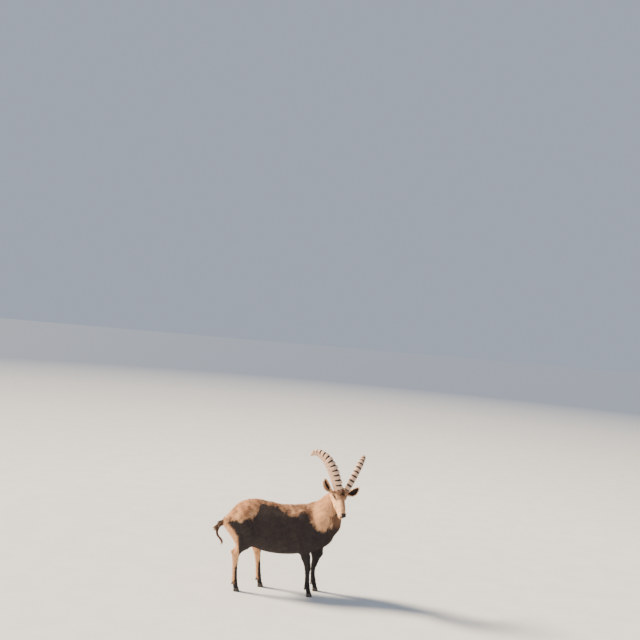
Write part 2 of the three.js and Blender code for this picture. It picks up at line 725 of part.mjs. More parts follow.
function mouthGroove() {
  const rings = [];
  for (let i = 0; i <= MOUTH_STEPS; i += 1) {
    const a = radians(mix(-MOUTH_HALF_TURN, MOUTH_HALF_TURN, i / MOUTH_STEPS));
    const direction = [Math.cos(a), Math.sin(a), 0];
    const rise = -4 * Math.sin(a) ** 2 + 5 * Math.max(-Math.cos(a), 0);
    const start = plus(MOUTH_CENTRE, [0, 0, rise]);
    const skin = reachFrom(start, direction, MOUTH_REACH, (p) => fleshField(fromHead(p)));
    const end = i === 0 || i === MOUTH_STEPS;
    const deep = end ? MOUTH_END_DEEP : MOUTH_DEEP;
    const up = [0, 0, end ? MOUTH_END_TALL : MOUTH_TALL];
    rings.push([plus(skin, direction, 5), plus(plus(skin, up), direction, 1), plus(skin, direction, -deep),
      plus(plus(skin, up, -1), direction, 1)].map(fromHead));
  }
  return loft(rings);
}

const NOSTRIL = { place: [210, 15, -8], pitch: -38, yaw: 32, radii: [8.5, 3.4, 5.5] };

function nostril(side) {
  const [x, y, z] = NOSTRIL.place;
  const matrix = new THREE.Matrix4().makeTranslation(...HEAD_PLACE).multiply(headTurn)
    .multiply(new THREE.Matrix4().makeTranslation(x, side * y, z))
    .multiply(new THREE.Matrix4().makeRotationY(radians(NOSTRIL.pitch)))
    .multiply(new THREE.Matrix4().makeRotationZ(radians(side * NOSTRIL.yaw)))
    .multiply(new THREE.Matrix4().makeScale(...NOSTRIL.radii));
  return solidOf(new THREE.SphereGeometry(1, 8, 6), matrix);
}

// The coat: flat tapered locks rooted in the flesh, bent along its surface and overlapping along the
// lie of the hair. A station says how far along the lock it lies, its height over the skin, and the
// share of the width and thickness.
const LOCK_STATIONS = [
  { t: 0, height: -8, wide: 0.7, thick: 0.5 },
  { t: 0.34, height: 1.5, wide: 1, thick: 1 },
  { t: 0.7, height: 6, wide: 0.74, thick: 0.75 },
  { t: 1, height: 9, wide: 0, thick: 0 },
];
const LOCK_CURL = 0.5;
const LOCK_CLEAR = 4;
const LOCK_TRIES = 4000;
const LOCK_SIZES = [1, 0.72];
const NEAR_SKIN = 4;

function seeded(seed) {
  let state = seed;
  return () => {
    state = (state * 1664525 + 1013904223) % 4294967296;
    return state / 4294967296;
  };
}

// The part of a direction that lies in the skin at a point
function alongSkin(field, p, direction) {
  const n = unit(gradient(field, p));
  return { n, d: unit(plus(direction, n, -dot(n, direction))) };
}

// The rings of one lock that grows from a point of the skin along the lie
function lockRings(field, root, { lie, size, half, thick, bend }) {
  const { n: rootNormal, d: start } = alongSkin(field, root, lie);
  const aside = cross(rootNormal, start);
  return LOCK_STATIONS.map(({ t, height, wide, thick: share }) => {
    const swing = bend * t * t;
    let p = plus(plus(root, start, size * t), aside, size * swing);
    p = settle(field, settle(field, p, height), height);
    const { n, d } = alongSkin(field, p, plus(start, aside, 2 * swing));
    const across = cross(n, d);
    if (wide === 0) return [p];
    return [plus(p, across, half * wide), plus(p, n, thick * share), plus(p, across, -half * wide)];
  });
}

// A hanging strand through given points, flat across the aside direction, from a half width to a fine tip
function strand(points, aside, half, thick) {
  const last = points.length - 1;
  return loft(points.map((p, i) => {
    if (i === last) return [p];
    const t = i / last;
    const along = unit(minus(points[i + 1], points[Math.max(i - 1, 0)]));
    const across = unit(plus(aside, along, -dot(aside, along)));
    const n = cross(along, across);
    const wide = half * (1 - 0.55 * t) * (i === 0 ? 0.8 : 1);
    const deep = thick * (1 - 0.6 * t);
    return [plus(p, across, wide), plus(p, n, deep), plus(p, across, -wide), plus(p, n, -deep)];
  }), 'strip');
}

// Points spread over a solid's skin, no two nearer than the spacing
function spreadOver(solid, spacing, tries, random, wanted) {
  const mesh = solid.getMesh();
  const corner = (t, k) => {
    const v = mesh.triVerts[3 * t + k] * mesh.numProp;
    return [mesh.vertProperties[v], mesh.vertProperties[v + 1], mesh.vertProperties[v + 2]];
  };
  const reach = [];
  let area = 0;
  for (let t = 0; t < mesh.triVerts.length / 3; t += 1) {
    area += length(cross(minus(corner(t, 1), corner(t, 0)), minus(corner(t, 2), corner(t, 0))));
    reach.push(area);
  }
  const chosen = [];
  for (let i = 0; i < tries; i += 1) {
    const pick = random() * area;
    const t = reach.findIndex((sum) => sum >= pick);
    const u = Math.sqrt(random());
    const v = random();
    const p = plus(plus(times(corner(t, 0), 1 - u), corner(t, 1), u * (1 - v)), corner(t, 2), u * v);
    if (wanted(p) && chosen.every((q) => length(minus(p, q)) > spacing)) chosen.push(p);
  }
  return chosen;
}

// Adds locks to a node. clear gives how far a point is from the nearest seam, on the node's own side of it.
function dressed(solid, { seed, spacing, size, half, thick, lie, wanted = () => true }, clear) {
  const random = seeded(seed);
  const onSkin = (p) => Math.abs(wholeField(p)) < NEAR_SKIN && clear(p) > half / 2 && wanted(p);
  let result = solid;
  for (const root of spreadOver(solid, spacing, LOCK_TRIES, random, onSkin)) {
    const grown = mix(0.85, 1.15, random());
    const bend = LOCK_CURL * (random() - 0.5);
    const broad = mix(0.8, 1.2, random());
    for (const shorter of LOCK_SIZES) {
      const one = { lie, size: size * grown * shorter, half: half * broad, thick, bend };
      const rings = lockRings(wholeField, root, one);
      if (rings.flat().every((p) => clear(p) > LOCK_CLEAR)) {
        result = result.add(loft(rings));
        break;
      }
    }
  }
  return largest(result);
}

// Seam planes between the nodes of the body, each a point and the normal towards the second node
const RUMP_SEAM = [[-150, 0, 0], [1, 0, 0]];
const CHEST_SEAM = [[168, 0, 0], [1, 0, 0]];
const NECK_SEAM = [[312, 0, 898], [0.9, 0, 0.43]];
const THROAT_SEAM = [[498, -38, 850], [0.4, -0.3, 0.86]];
const HEAD_SEAMS = [
  [fromHead([-80, 0, -84]), headVector([0.86, 0, 0.5])],
  [fromHead([-80, 0, -84]), headVector([0.14, 0, 0.99])],
];
const backOf = ([point, normal]) => [point, times(normal, -1)];

// The block of space that a leg takes out of the trunk
const LEG_TOP = { fore: 470, hind: 578 };
const LEG_SPACE = {
  fore_right: [[200, -200], [500, -38]],
  fore_left: [[225, 38], [570, 200]],
  hind_right: [[-560, -230], [-128, 0]],
  hind_left: [[-560, 0], [-46, 230]],
};

function legSpace(name, grow) {
  const [[x0, y0], [x1, y1]] = LEG_SPACE[name];
  const top = LEG_TOP[name.slice(0, 4)];
  return block([x0, y0, -50], [x1, y1, top], grow);
}

// The block of space that the tail takes, along its own line
const TAIL_START = 34;
const TAIL_BLOCK = [300, 104, 96];
const TAIL_ROOM = 96;

function tailSpace(grow) {
  const along = unit(minus(TAIL_BEND, TAIL_ROOT));
  const centre = plus(TAIL_ROOT, along, TAIL_START + TAIL_BLOCK[0] / 2);
  const matrix = turnedTo(new THREE.Vector3(1, 0, 0), along, centre);
  return solidOf(new THREE.BoxGeometry(...TAIL_BLOCK.map((v) => v + 2 * grow)), matrix);
}

const behind = (p, [point, normal]) => -dot(minus(p, point), unit(normal));

function outsideLegSpace(p, name) {
  const [[x0, y0], [x1, y1]] = LEG_SPACE[name];
  return Math.max(x0 - p[0], p[0] - x1, y0 - p[1], p[1] - y1, p[2] - LEG_TOP[name.slice(0, 4)]);
}

// How far a point of the trunk is from the seams round its node
function trunkClear(p, planes) {
  const legs = Object.keys(LEGS).map((name) => outsideLegSpace(p, name));
  const seams = planes.map((plane) => behind(p, plane));
  return Math.min(...seams, ...legs, length(minus(p, TAIL_ROOT)) - TAIL_ROOM);
}

function trunkPiece(x0, x1, planes, coat) {
  let solid = meshField(wholeField, [x0, -266, 310], [x1, 266, 1030], TRUNK_STEP);
  solid = trimmed(solid, planes);
  for (const name of Object.keys(LEGS)) {
    solid = solid.subtract(legSpace(name, GAP / 2));
  }
  solid = largest(solid.subtract(tailSpace(GAP / 2)));
  return dressed(solid, coat, (p) => trunkClear(p, planes));
}

function upperLeg(name, leg) {
  const [[x0, y0], [x1, y1]] = LEG_SPACE[name];
  const steps = leg.fore ? FOREARM_STEP : THIGH_STEP;
  const lo = [x0 - 60, y0 - 20, leg.seam - 60];
  const hi = [x1 + 60, y1 + 60, LEG_TOP[name.slice(0, 4)] + 60];
  const solid = meshField(wholeField, lo, hi, steps).intersect(legSpace(name, -GAP / 2));
  return largest(trimmed(solid, [[[0, 0, leg.seam], [0, 0, -1]]]));
}

// Feet: the seam above the claws slopes down to the heel
const CORONET_HEIGHT = 36;
const CORONET_SLOPE = 0.22;
const coronetSeam = (leg) => [[leg.hoof[0], leg.hoof[1], CORONET_HEIGHT], [-CORONET_SLOPE, 0, 1]];

const SHANK_SIDES = 12;
const SHANK_LEVELS = [1, 0.84, 0.68, 0.52, 0.37, 0.27, 0.2, 0.12, 0];
const SHANK_REACH = 70;

function legCentre(leg, z) {
  const below = leg.joints.findIndex((one) => one.at[2] <= z);
  const lower = leg.joints[below < 0 ? leg.joints.length - 1 : below].at;
  const upper = leg.joints[(below < 0 ? leg.joints.length - 1 : below) - 1].at;
  return between(lower, upper, (z - lower[2]) / (upper[2] - lower[2]));
}

// The shank, fetlock and pastern, lofted through rings found on the field at each level
function lowerLeg(leg) {
  const seam = coronetSeam(leg);
  const floorAt = (p) => seam[0][2] + GAP / 2 + CORONET_SLOPE * (p[0] - seam[0][0]);
  const top = leg.seam - GAP / 2;
  const rings = SHANK_LEVELS.map((level) => {
    const ring = [];
    const z = mix(CORONET_HEIGHT, top, level);
    const centre = legCentre(leg, z);
    for (let i = 0; i < SHANK_SIDES; i += 1) {
      const a = 2 * Math.PI * i / SHANK_SIDES;
      const middle = [centre[0], centre[1] / NARROW, z];
      const p = reachFrom(middle, [Math.cos(a), Math.sin(a), 0], SHANK_REACH, wholeField);
      ring.push(level === 0 ? [p[0], p[1], floorAt(p)] : p);
    }
    return ring;
  });
  return loft(rings);
}

// A claw: a flat sole, pointed in front, under a slanting wall. inner is +1 for the claw at the
// animal's left.
const CLAW_SIDES = 8;

function clawRing(leg, inner, heightOf, size, shift) {
  const ring = [];
  for (let i = 0; i < CLAW_SIDES; i += 1) {
    const a = 2 * Math.PI * i / CLAW_SIDES;
    const c = Math.cos(a);
    const ahead = c > 0 ? c : c * 0.82;
    const narrow = c > 0 ? 1 - 0.55 * c * c : 1;
    const x = leg.hoof[0] + shift + ahead * CLAW_LENGTH / 2 * size;
    const own = Math.sin(a) * CLAW_WIDTH / 2 * narrow * mix(1, size, 0.6);
    const y = leg.hoof[1] + inner * (CLAW_WIDTH / 2 + 1.2) + own - inner * 2.5 * Math.max(c, 0);
    ring.push([x, y, heightOf(x)]);
  }
  return ring;
}

function claw(leg, inner) {
  const slope = (x) => CORONET_HEIGHT - 0.5 * GAP + CORONET_SLOPE * (x - leg.hoof[0]);
  const rings = [
    clawRing(leg, inner, () => 0, 1, 2),
    clawRing(leg, inner, (x) => slope(x) * 0.3, 0.97, 0),
    clawRing(leg, inner, (x) => slope(x) - 0.2, 0.8, -5),
  ];
  return loft(rings);
}

// A dewclaw: a short blunt cone behind the fetlock
const DEWCLAW_SINK = 10;
const DEWCLAW_SIDES = 6;

function dewclaw(leg, inner, grow = 0) {
  const fetlock = leg.joints[6].at;
  const root = [fetlock[0] - 15, fetlock[1] / NARROW + inner * 12, 84];
  const along = unit([-0.62, inner * 0.2, -0.78]);
  const across = unit(cross(along, [0, 1, 0]));
  const other = cross(along, across);
  const stations = [[-DEWCLAW_SINK - grow, 8.5], [9, 8.5], [20, 5.5]];
  const rings = stations.map(([s, r]) => {
    const ring = [];
    for (let i = 0; i < DEWCLAW_SIDES; i += 1) {
      const a = 2 * Math.PI * i / DEWCLAW_SIDES;
      const radius = r + grow * 1.3;
      const onAxis = plus(root, along, s);
      ring.push(plus(plus(onAxis, across, radius * Math.cos(a)), other, radius * Math.sin(a)));
    }
    return ring;
  });
  return loft(rings);
}

// Materials
const material = (color, roughness) => new THREE.MeshStandardMaterial({ color, roughness, metalness: 0 });
const COATS = {
  back: () => material(0xb98a62, 0.95),
  flank: () => material(0x6a4a38, 0.95),
  face: () => material(0xc9a37e, 0.9),
  leg: () => material(0x4a3428, 0.9),
  horn: () => material(0xa48a76, 0.6),
  claw: () => material(0x2c2521, 0.5),
  eye: () => material(0x8a5a22, 0.15),
};

const model = new THREE.Group();
const shift = new THREE.Group();
model.add(shift);

function addNode(name, solid, coat) {
  const mesh = solid.getMesh();
  const geometry = new THREE.BufferGeometry();
  geometry.setAttribute('position', new THREE.BufferAttribute(new Float32Array(mesh.vertProperties), 3));
  geometry.setIndex(new THREE.BufferAttribute(new Uint32Array(mesh.triVerts), 1));
  geometry.computeVertexNormals();
  const node = new THREE.Mesh(geometry, coat());
  node.name = name;
  shift.add(node);
}

// Torso and neck
const above = (height) => (p) => p[2] > height;
const FLEECE = {
  rump: { seed: 11, spacing: 61, size: 104, half: 36, thick: 12, lie: [-0.62, 0, -0.78], wanted: above(690) },
  belly: { seed: 23, spacing: 63, size: 108, half: 38, thick: 10, lie: [-0.8, 0, -0.6], wanted: above(780) },
  chest: { seed: 31, spacing: 63, size: 104, half: 36, thick: 10, lie: [-0.7, 0, -0.72], wanted: above(760) },
  neck: { seed: 43, spacing: 68, size: 112, half: 34, thick: 11, lie: [-0.42, 0.16, -0.9] },
};
addNode('rump', trunkPiece(-640, -90, [RUMP_SEAM], FLEECE.rump), COATS.back);
addNode('belly', trunkPiece(-220, 240, [backOf(RUMP_SEAM), CHEST_SEAM], FLEECE.belly), COATS.flank);
addNode('chest', trunkPiece(100, 620, [backOf(CHEST_SEAM), NECK_SEAM], FLEECE.chest), COATS.flank);

// The space of the head, ahead of one plane behind the skull and above another under the jaw
function headSpace(grow) {
  const whole = block([-BIG, -BIG, -BIG], [BIG, BIG, BIG]);
  const cut = (space, [point, normal]) => space.subtract(beyondPlane(point, times(normal, -1), grow));
  return HEAD_SEAMS.reduce(cut, whole);
}

function neckLower() {
  const solid = meshField(wholeField, [230, -270, 360], [740, 270, 1110], NECK_STEP);
  const planes = [backOf(NECK_SEAM), THROAT_SEAM];
  const lower = largest(trimmed(solid, planes).subtract(legSpace('fore_left', GAP / 2)));
  return dressed(lower, FLEECE.neck, (p) => trunkClear(p, planes));
}

function neckUpper() {
  const solid = meshField(wholeField, [300, -330, 640], [800, 180, 1300], NECK_STEP);
  const planes = [backOf(THROAT_SEAM), backOf(NECK_SEAM)];
  const upper = largest(trimmed(solid, planes).subtract(headSpace(GAP / 2)));
  const outOfHead = (p) => Math.max(...HEAD_SEAMS.map((plane) => behind(p, plane)));
  const clear = (p) => Math.min(outOfHead(p), ...planes.map((plane) => behind(p, plane)));
  return largest(dressed(upper, FLEECE.neck, clear).subtract(headSpace(GAP / 2)));
}

addNode('neck_lower', neckLower(), COATS.back);
addNode('neck_upper', neckUpper(), COATS.back);

// Opens up the grid beyond a width, where the neck needs less detail
function spread(v, width) {
  const over = Math.max(Math.abs(v) - width, 0);
  return v + Math.sign(v) * over;
}

// Beard: short locks under the chin that hang straight down and a little back
const BEARD = [
  { x: 176, y: -8, long: 52 },
  { x: 176, y: 8, long: 56 },
  { x: 160, y: 0, long: 64 },
  { x: 146, y: -7, long: 46 },
  { x: 144, y: 8, long: 42 },
];

const BEARD_HEIGHT = -70;
const BEARD_HALF = 13;
const BEARD_THICK = 7;

function beardLock({ x, y, long }) {
  const root = fromHead([x, y, BEARD_HEIGHT]);
  const down = [0.04 * y, 0, -1];
  const points = [0.4, 0.75, 1].map((t) => plus(plus(root, down, long * t), [0, 0, -6]));
  return strand([root, ...points], HEAD_Y, BEARD_HALF, BEARD_THICK);
}

// Head, ears, eyes and horns
function head() {
  const placed = (g) => fromHead([g[0] < 0 ? g[0] * 1.5 : g[0], spread(g[1], 70), g[2]]);
  let solid = meshField(wholeField, [-130, -120, -130], [232, 120, 122], HEAD_STEP, placed);
  solid = largest(solid.intersect(headSpace(-GAP / 2)));
  for (const aim of Object.values(EAR_AIM)) {
    const { side } = aim;
    solid = solid.add(ball(eyeCentre(side), EYE_RADIUS + LID_THICK));
    solid = solid.subtract(eyeOpening(side)).subtract(ball(eyeCentre(side), EYE_RADIUS + GAP));
    solid = solid.subtract(hornPocket(side)).subtract(earPocket(aim)).subtract(nostril(side));
  }
  for (const lockShape of BEARD) {
    solid = solid.add(beardLock(lockShape));
  }
  return largest(solid.subtract(mouthGroove()));
}

addNode('head', head(), COATS.face);
for (const [word, side] of [['right', -1], ['left', 1]]) {
  addNode(`ear_${word}`, ear(EAR_AIM[word]), COATS.face);
  addNode(`eye_${word}`, ball(eyeCentre(side), EYE_RADIUS), COATS.eye);
  addNode(`horn_${word}`, horn(side), COATS.horn);
}

// Tail: a short brush with tufts at its end and one loose curl hanging from it
const TUFT_SAG = [0, 0, -8];
const TUFT_THICK = 7;
const CURL_HALF = 11;
const TAIL_TUFTS = [
  { from: [-590, -10, 634], to: [-640, -18, 566], half: 18 },
  { from: [-594, 10, 632], to: [-632, 20, 556], half: 18 },
  { from: [-596, 0, 640], to: [-654, 0, 584], half: 17 },
  { from: [-574, 0, 634], to: [-604, 4, 552], half: 18 },
];
const CURL = [
  [-600, -4, 606], [-612, -6, 560], [-596, -8, 520], [-566, -9, 494],
  [-538, -8, 470], [-534, -6, 444], [-560, -4, 424],
];

function tail() {
  const bare = meshField(wholeField, [-720, -90, 520], [-440, 90, 810], TAIL_STEP);
  let solid = largest(bare.intersect(tailSpace(-GAP / 2)));
  for (const { from, to, half } of TAIL_TUFTS) {
    const early = plus(between(from, to, 0.4), TUFT_SAG, 0.2);
    const late = plus(between(from, to, 0.75), TUFT_SAG);
    solid = solid.add(strand([from, early, late, plus(to, TUFT_SAG)], [0, 1, 0], half, TUFT_THICK));
  }
  return largest(solid.add(strand(CURL, [0, 1, 0], CURL_HALF, TUFT_THICK)));
}

addNode('tail', tail(), COATS.leg);

// Legs and claws
for (const [name, leg] of Object.entries(LEGS)) {
  addNode(`leg_${name}_upper`, upperLeg(name, leg), COATS.leg);
  let shank = lowerLeg(leg);
  for (const [word, inner] of [['right', -1], ['left', 1]]) {
    shank = largest(shank.subtract(dewclaw(leg, inner, GAP)));
    addNode(`claw_${name}_${word}`, claw(leg, inner), COATS.claw);
    addNode(`dewclaw_${name}_${word}`, dewclaw(leg, inner), COATS.claw);
  }
  addNode(`leg_${name}_lower`, shank, COATS.leg);
}

// The origin is on the floor under the middle of the whole model
const box = new THREE.Box3().setFromObject(model);
shift.position.set(-(box.min.x + box.max.x) / 2, -(box.min.y + box.max.y) / 2, 0);

export default model;
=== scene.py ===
# A life-size alpine ibex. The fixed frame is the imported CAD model. One skin stands for all its flesh,
# meshed from the same smooth field in millimetres, and a coat of solid tufts grows over it. Horns,
# eyes and claws are finer lofts.
import math

import bpy
import numpy as np
from mathutils import Matrix, Vector
from mathutils.bvhtree import BVHTree


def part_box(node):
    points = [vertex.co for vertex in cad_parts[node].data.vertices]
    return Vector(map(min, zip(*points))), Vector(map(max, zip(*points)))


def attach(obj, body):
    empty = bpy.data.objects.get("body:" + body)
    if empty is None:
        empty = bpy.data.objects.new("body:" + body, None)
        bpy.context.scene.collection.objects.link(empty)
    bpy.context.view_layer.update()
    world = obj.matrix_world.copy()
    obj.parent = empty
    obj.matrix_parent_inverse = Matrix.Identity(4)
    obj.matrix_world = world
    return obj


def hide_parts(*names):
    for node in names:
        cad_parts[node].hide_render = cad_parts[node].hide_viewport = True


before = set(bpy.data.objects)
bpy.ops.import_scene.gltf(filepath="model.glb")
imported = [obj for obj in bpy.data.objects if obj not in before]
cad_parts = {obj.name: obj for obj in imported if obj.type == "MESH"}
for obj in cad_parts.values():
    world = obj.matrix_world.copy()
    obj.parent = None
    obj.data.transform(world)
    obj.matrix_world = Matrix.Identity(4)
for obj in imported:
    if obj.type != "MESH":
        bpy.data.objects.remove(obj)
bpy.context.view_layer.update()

# Sizes of the body, millimetres, in the animal's own frame: +X forward, +Y its left, +Z up
WITHERS = 912
FOOT_Y = 100
NARROW = 1.2
HEAD_PLACE = np.array([615.0, -220.0, 1057.0])
HEAD_YAW, HEAD_PITCH, HEAD_ROLL = -73.5, 45.0, -10.0
HORN_LENGTH, HORN_DEPTH, HORN_WIDTH, HORN_RIDGES = 596, 108, 62, 12
EAR_LENGTH = 160
EYE_RADIUS = 16.5
EYE_PLACE = np.array([2.0, 48.0, 5.0])
CLAW_LENGTH, CLAW_WIDTH = 66, 28


# Small helpers
def unit(v):
    v = np.asarray(v, float)
    return v / np.maximum(np.linalg.norm(v, axis=-1, keepdims=True), 1e-9)


def laid_flat(v, n):
    """The way v points once it is laid on the plane that n stands on."""
    return unit(v - n * (v * n).sum(-1, keepdims=True))


def smooth(lo, hi, v):
    t = np.clip((v - lo) / (hi - lo), 0, 1)
    return t * t * (3 - 2 * t)


def mix(a, b, t):
    return a + (b - a) * t


def column(*v):
    return np.array(v, float)[:, None]


def apart(p, place):
    """Distance of points in rows from one place."""
    return np.sqrt(((p - column(*place)) ** 2).sum(0))


def folded(q):
    """Points of the head with its right half laid over its left."""
    return np.array([q[0], np.abs(q[1]), q[2]])


def turn_matrix(yaw, pitch, roll):
    y, p, r = (math.radians(v) for v in (yaw, pitch, roll))
    rz = np.array([[math.cos(y), -math.sin(y), 0], [math.sin(y), math.cos(y), 0], [0, 0, 1]])
    ry = np.array([[math.cos(p), 0, math.sin(p)], [0, 1, 0], [-math.sin(p), 0, math.cos(p)]])
    rx = np.array([[1, 0, 0], [0, math.cos(r), -math.sin(r)], [0, math.sin(r), math.cos(r)]])
    return rz @ ry @ rx


HEAD_TURN = turn_matrix(HEAD_YAW, HEAD_PITCH, HEAD_ROLL)


def head_vector(q):
    return np.asarray(q, float) @ HEAD_TURN.T


def from_head(q):
    return head_vector(q) + HEAD_PLACE


def to_head(p):
    """Points in rows x, y, z into rows of the head's own frame."""
    return HEAD_TURN.T @ (p - HEAD_PLACE[:, None])


# From millimetres in the animal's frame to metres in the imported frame
SHIFT = np.mean(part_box("eye_right"), axis=0) - from_head(EYE_PLACE * [1, -1, 1]) / 1000
SHIFT[2] = 0


def metres(p):
    return np.asarray(p, float) / 1000 + SHIFT


# The body as one field: about the distance to its surface, negative inside. Points come as rows x, y, z.
def rod(p, a, b, ra, rb):
    ax, ay, az = b[0] - a[0], b[1] - a[1], b[2] - a[2]
    px, py, pz = p[0] - a[0], p[1] - a[1], p[2] - a[2]
    t = np.clip((px * ax + py * ay + pz * az) / (ax * ax + ay * ay + az * az), 0, 1)
    return np.sqrt((px - ax * t) ** 2 + (py - ay * t) ** 2 + (pz - az * t) ** 2) - (ra + (rb - ra) * t)


def blob(p, centre, radii):
    x, y, z = ((p[k] - centre[k]) / radii[k] for k in range(3))
    near_one = np.sqrt(x * x + y * y + z * z)
    slope = np.sqrt((x / radii[0]) ** 2 + (y / radii[1]) ** 2 + (z / radii[2]) ** 2)
    return np.where(slope < 1e-9, -min(radii), near_one * (near_one - 1) / np.maximum(slope, 1e-9))


def blend(a, b, width):
    h = np.maximum(width - np.abs(a - b), 0) / width
    return np.minimum(a, b) - h * h * width / 4


def carve(a, b, width):
    """Takes field b out of field a with a rounded edge."""
    return -blend(-a, b, width)


def joined(d, p, forms):
    """Field d with forms blended into it. Each form is its blend's width, its kind and its sizes."""
    for width, kind, *sizes in forms:
        d = blend(d, kind(p, *sizes), width)
    return d


def chain(p, joints, width):
    rods = [(width, rod, a[:3], b[:3], a[3], b[3]) for a, b in zip(joints[:-1], joints[1:])]
    return joined(np.full(p.shape[1], 1e9), p, rods)


# Stations of the trunk: x, top, bottom and half width
TRUNK = np.array([
    (-528, 722, 628, 42), (-490, 763, 585, 84), (-410, 860, 530, 132), (-320, 914, 478, 158),
    (-210, 932, 436, 172), (-90, 918, 404, 185), (40, 898, 392, 192), (160, 903, 396, 182),
    (260, WITHERS - 6, 408, 158), (350, 875, 424, 130), (430, 830, 462, 100), (470, 790, 520, 70),
], float)
TRUNK_SQUARE = 2.25
TRUNK_SKEW = 0.16


def trunk_at(x):
    """x held inside the trunk's ends, with its top, bottom and half width there."""
    xs = TRUNK[:, 0]
    xc = np.clip(x, xs[0], xs[-1])
    i = np.clip(np.searchsorted(xs, xc, side="left") - 1, 0, len(xs) - 2)
    span = xs[i + 1] - xs[i]
    t = (xc - xs[i]) / span
    lo = np.maximum(np.arange(len(xs)) - 1, 0)
    hi = np.minimum(np.arange(len(xs)) + 1, len(xs) - 1)
    out = []
    for v in TRUNK[:, 1:].T:
        slope = (v[hi] - v[lo]) / (xs[hi] - xs[lo])
        out.append((2 * t**3 - 3 * t**2 + 1) * v[i] + (t**3 - 2 * t**2 + t) * span * slope[i]
                   + (3 * t**2 - 2 * t**3) * v[i + 1] + (t**3 - t**2) * span * slope[i + 1])
    return (xc, *out)


def trunk(p):
    xc, top, bottom, half = trunk_at(p[0])
    tall = (top - bottom) / 2
    z = p[2] - (top + bottom) / 2
    wide = half * (1 - TRUNK_SKEW * np.clip(z / tall, -1.2, 1.2))
    reach = np.hypot(p[1], z)
    powers = np.abs(p[1] / wide) ** TRUNK_SQUARE + np.abs(z / tall) ** TRUNK_SQUARE
    rho = powers ** (1 / TRUNK_SQUARE)
    inside = np.where(rho < 1e-6, -np.minimum(tall, half), reach - reach / np.maximum(rho, 1e-9))
    beyond = p[0] - xc
    return np.where(beyond == 0, inside, np.hypot(np.maximum(inside, 0), beyond))


# Leg joints run from the body down, each with its radius, in a space widened by NARROW
D = FOOT_Y * NARROW
LEGS = {
    "fore_right": dict(side=-1, fore=True, hoof=(388, -FOOT_Y), joints=[
        (302, -112, 500, 62), (326, -118, 400, 47), (350, -D, 316, 33), (356, -D, 280, 31),
        (357, -D, 240, 24), (360, -D, 180, 22), (364, -D, 108, 27), (377, -D, 68, 23),
        (385, -D, 34, 27)]),
    "fore_left": dict(side=1, fore=True, hoof=(456, FOOT_Y), joints=[
        (434, 112, 500, 84), (446, 118, 402, 64), (436, D, 316, 35), (428, D, 278, 31),
        (421, D, 240, 24), (421, D, 180, 22), (431, D, 108, 27), (445, D, 68, 23), (453, D, 34, 27)]),
    "hind_right": dict(
        side=-1, fore=False, hoof=(-356, -FOOT_Y), hip=(-345, -72, 765), stifle=(-228, -104, 590),
        ham=((-452, -62, 690), (-356, -108, 535)), joints=[
            (-228, -112, 575, 80), (-298, -120, 485, 57), (-362, -122, 418, 38), (-386, -D, 374, 36),
            (-388, -D, 318, 30), (-386, -D, 228, 25), (-379, -D, 108, 28), (-367, -D, 68, 24),
            (-359, -D, 34, 27)]),
    "hind_left": dict(
        side=1, fore=False, hoof=(-119, FOOT_Y), hip=(-335, 72, 765), stifle=(-150, 104, 640),
        ham=((-445, 62, 690), (-262, 108, 560)), joints=[
            (-138, 114, 628, 80), (-158, 120, 510, 57), (-170, 122, 420, 38), (-176, D, 374, 36),
            (-170, D, 318, 30), (-157, D, 228, 25), (-143, D, 108, 28), (-131, D, 68, 24),
            (-122, D, 34, 27)]),
}
FETLOCK = 6


def leg_field(p, leg):
    joints, s = leg["joints"], leg["side"]
    d = chain(p, joints, 8)
    if leg["fore"]:
        x, y, z = joints[0][:3]
        return joined(d, p, [
            (30, rod, (x - 34, y, z + 18), joints[1], 24, 28),
            (50, rod, (x + 80, s * 100, 575), (x, y, z), 66, 50),
            (60, rod, (268, s * 78, 830), (x + 84, s * 102, 600), 58, 66),
            (60, rod, (212, s * 92, 700), (x, s * 108, 520), 66, 50)])
    # Thigh, the cord to the point of the hock, and the hock's own back
    x, y, z = joints[3][:3]
    point, web = (x - 38, y, z + 24), (x + 26, y, z + 96)
    top, low = leg["ham"]
    return joined(d, p, [
        (60, rod, leg["hip"], leg["stifle"], 108, 92), (60, rod, top, low, 76, 66),
        (16, rod, point, web, 13, 22), (40, rod, web, low, 22, 52), (20, rod, point, joints[4], 14, 20)])


def neck_field(p):
    front = chain(p, [(380, 0, 640, 168), (428, -14, 648, 154), (498, -43, 768, 150),
                      (556, -106, 960, 104), (588, -142, 1040, 76)], 60)
    crest = chain(p, [(285, 0, 805, 88), (400, -17, 872, 82), (478, -58, 917, 75),
                      (556, -118, 996, 62)], 50)
    return blend(front, crest, 60)


def head_field(q):
    m = folded(q)
    return joined(blob(m, (-54, 0, 4), (82, 58, 60)), m, [
        (24, blob, (-18, 0, 18), (58, 54, 42)), (22, rod, (-40, 28, 20), (-39, 34, 52), 38, 33),
        (16, blob, (-4, 46, 6), (34, 23, 26)), (24, rod, (8, 0, 1), (136, 0, -9), 45, 34),
        (24, rod, (-46, 26, -38), (62, 17, -44), 39, 34), (22, rod, (-66, 28, -60), (54, 14, -70), 31, 27),
        (18, rod, (52, 12, -66), (178, 0, -69), 28, 19), (18, rod, (112, 13, -24), (172, 12, -27), 33, 30),
        (24, blob, (193, 0, -22), (25, 33, 25)), (10, blob, (176, 14, -43), (32, 22, 17)),
        (10, blob, (184, 0, -66), (26, 20, 14))])


TAIL_JOINTS = [(-500, 0, 705, 34), (-572, 0, 652, 26), (-628, 0, 600, 13)]
FAR = 140


def near(p, lo, hi, field):
    """A field worked out only inside a box, and simply far elsewhere."""
    inside = ((p > column(*lo) - FAR) & (p < column(*hi) + FAR)).all(0)
    out = np.full(p.shape[1], float(FAR))
    if inside.any():
        out[inside] = field(p[:, inside])
    return out


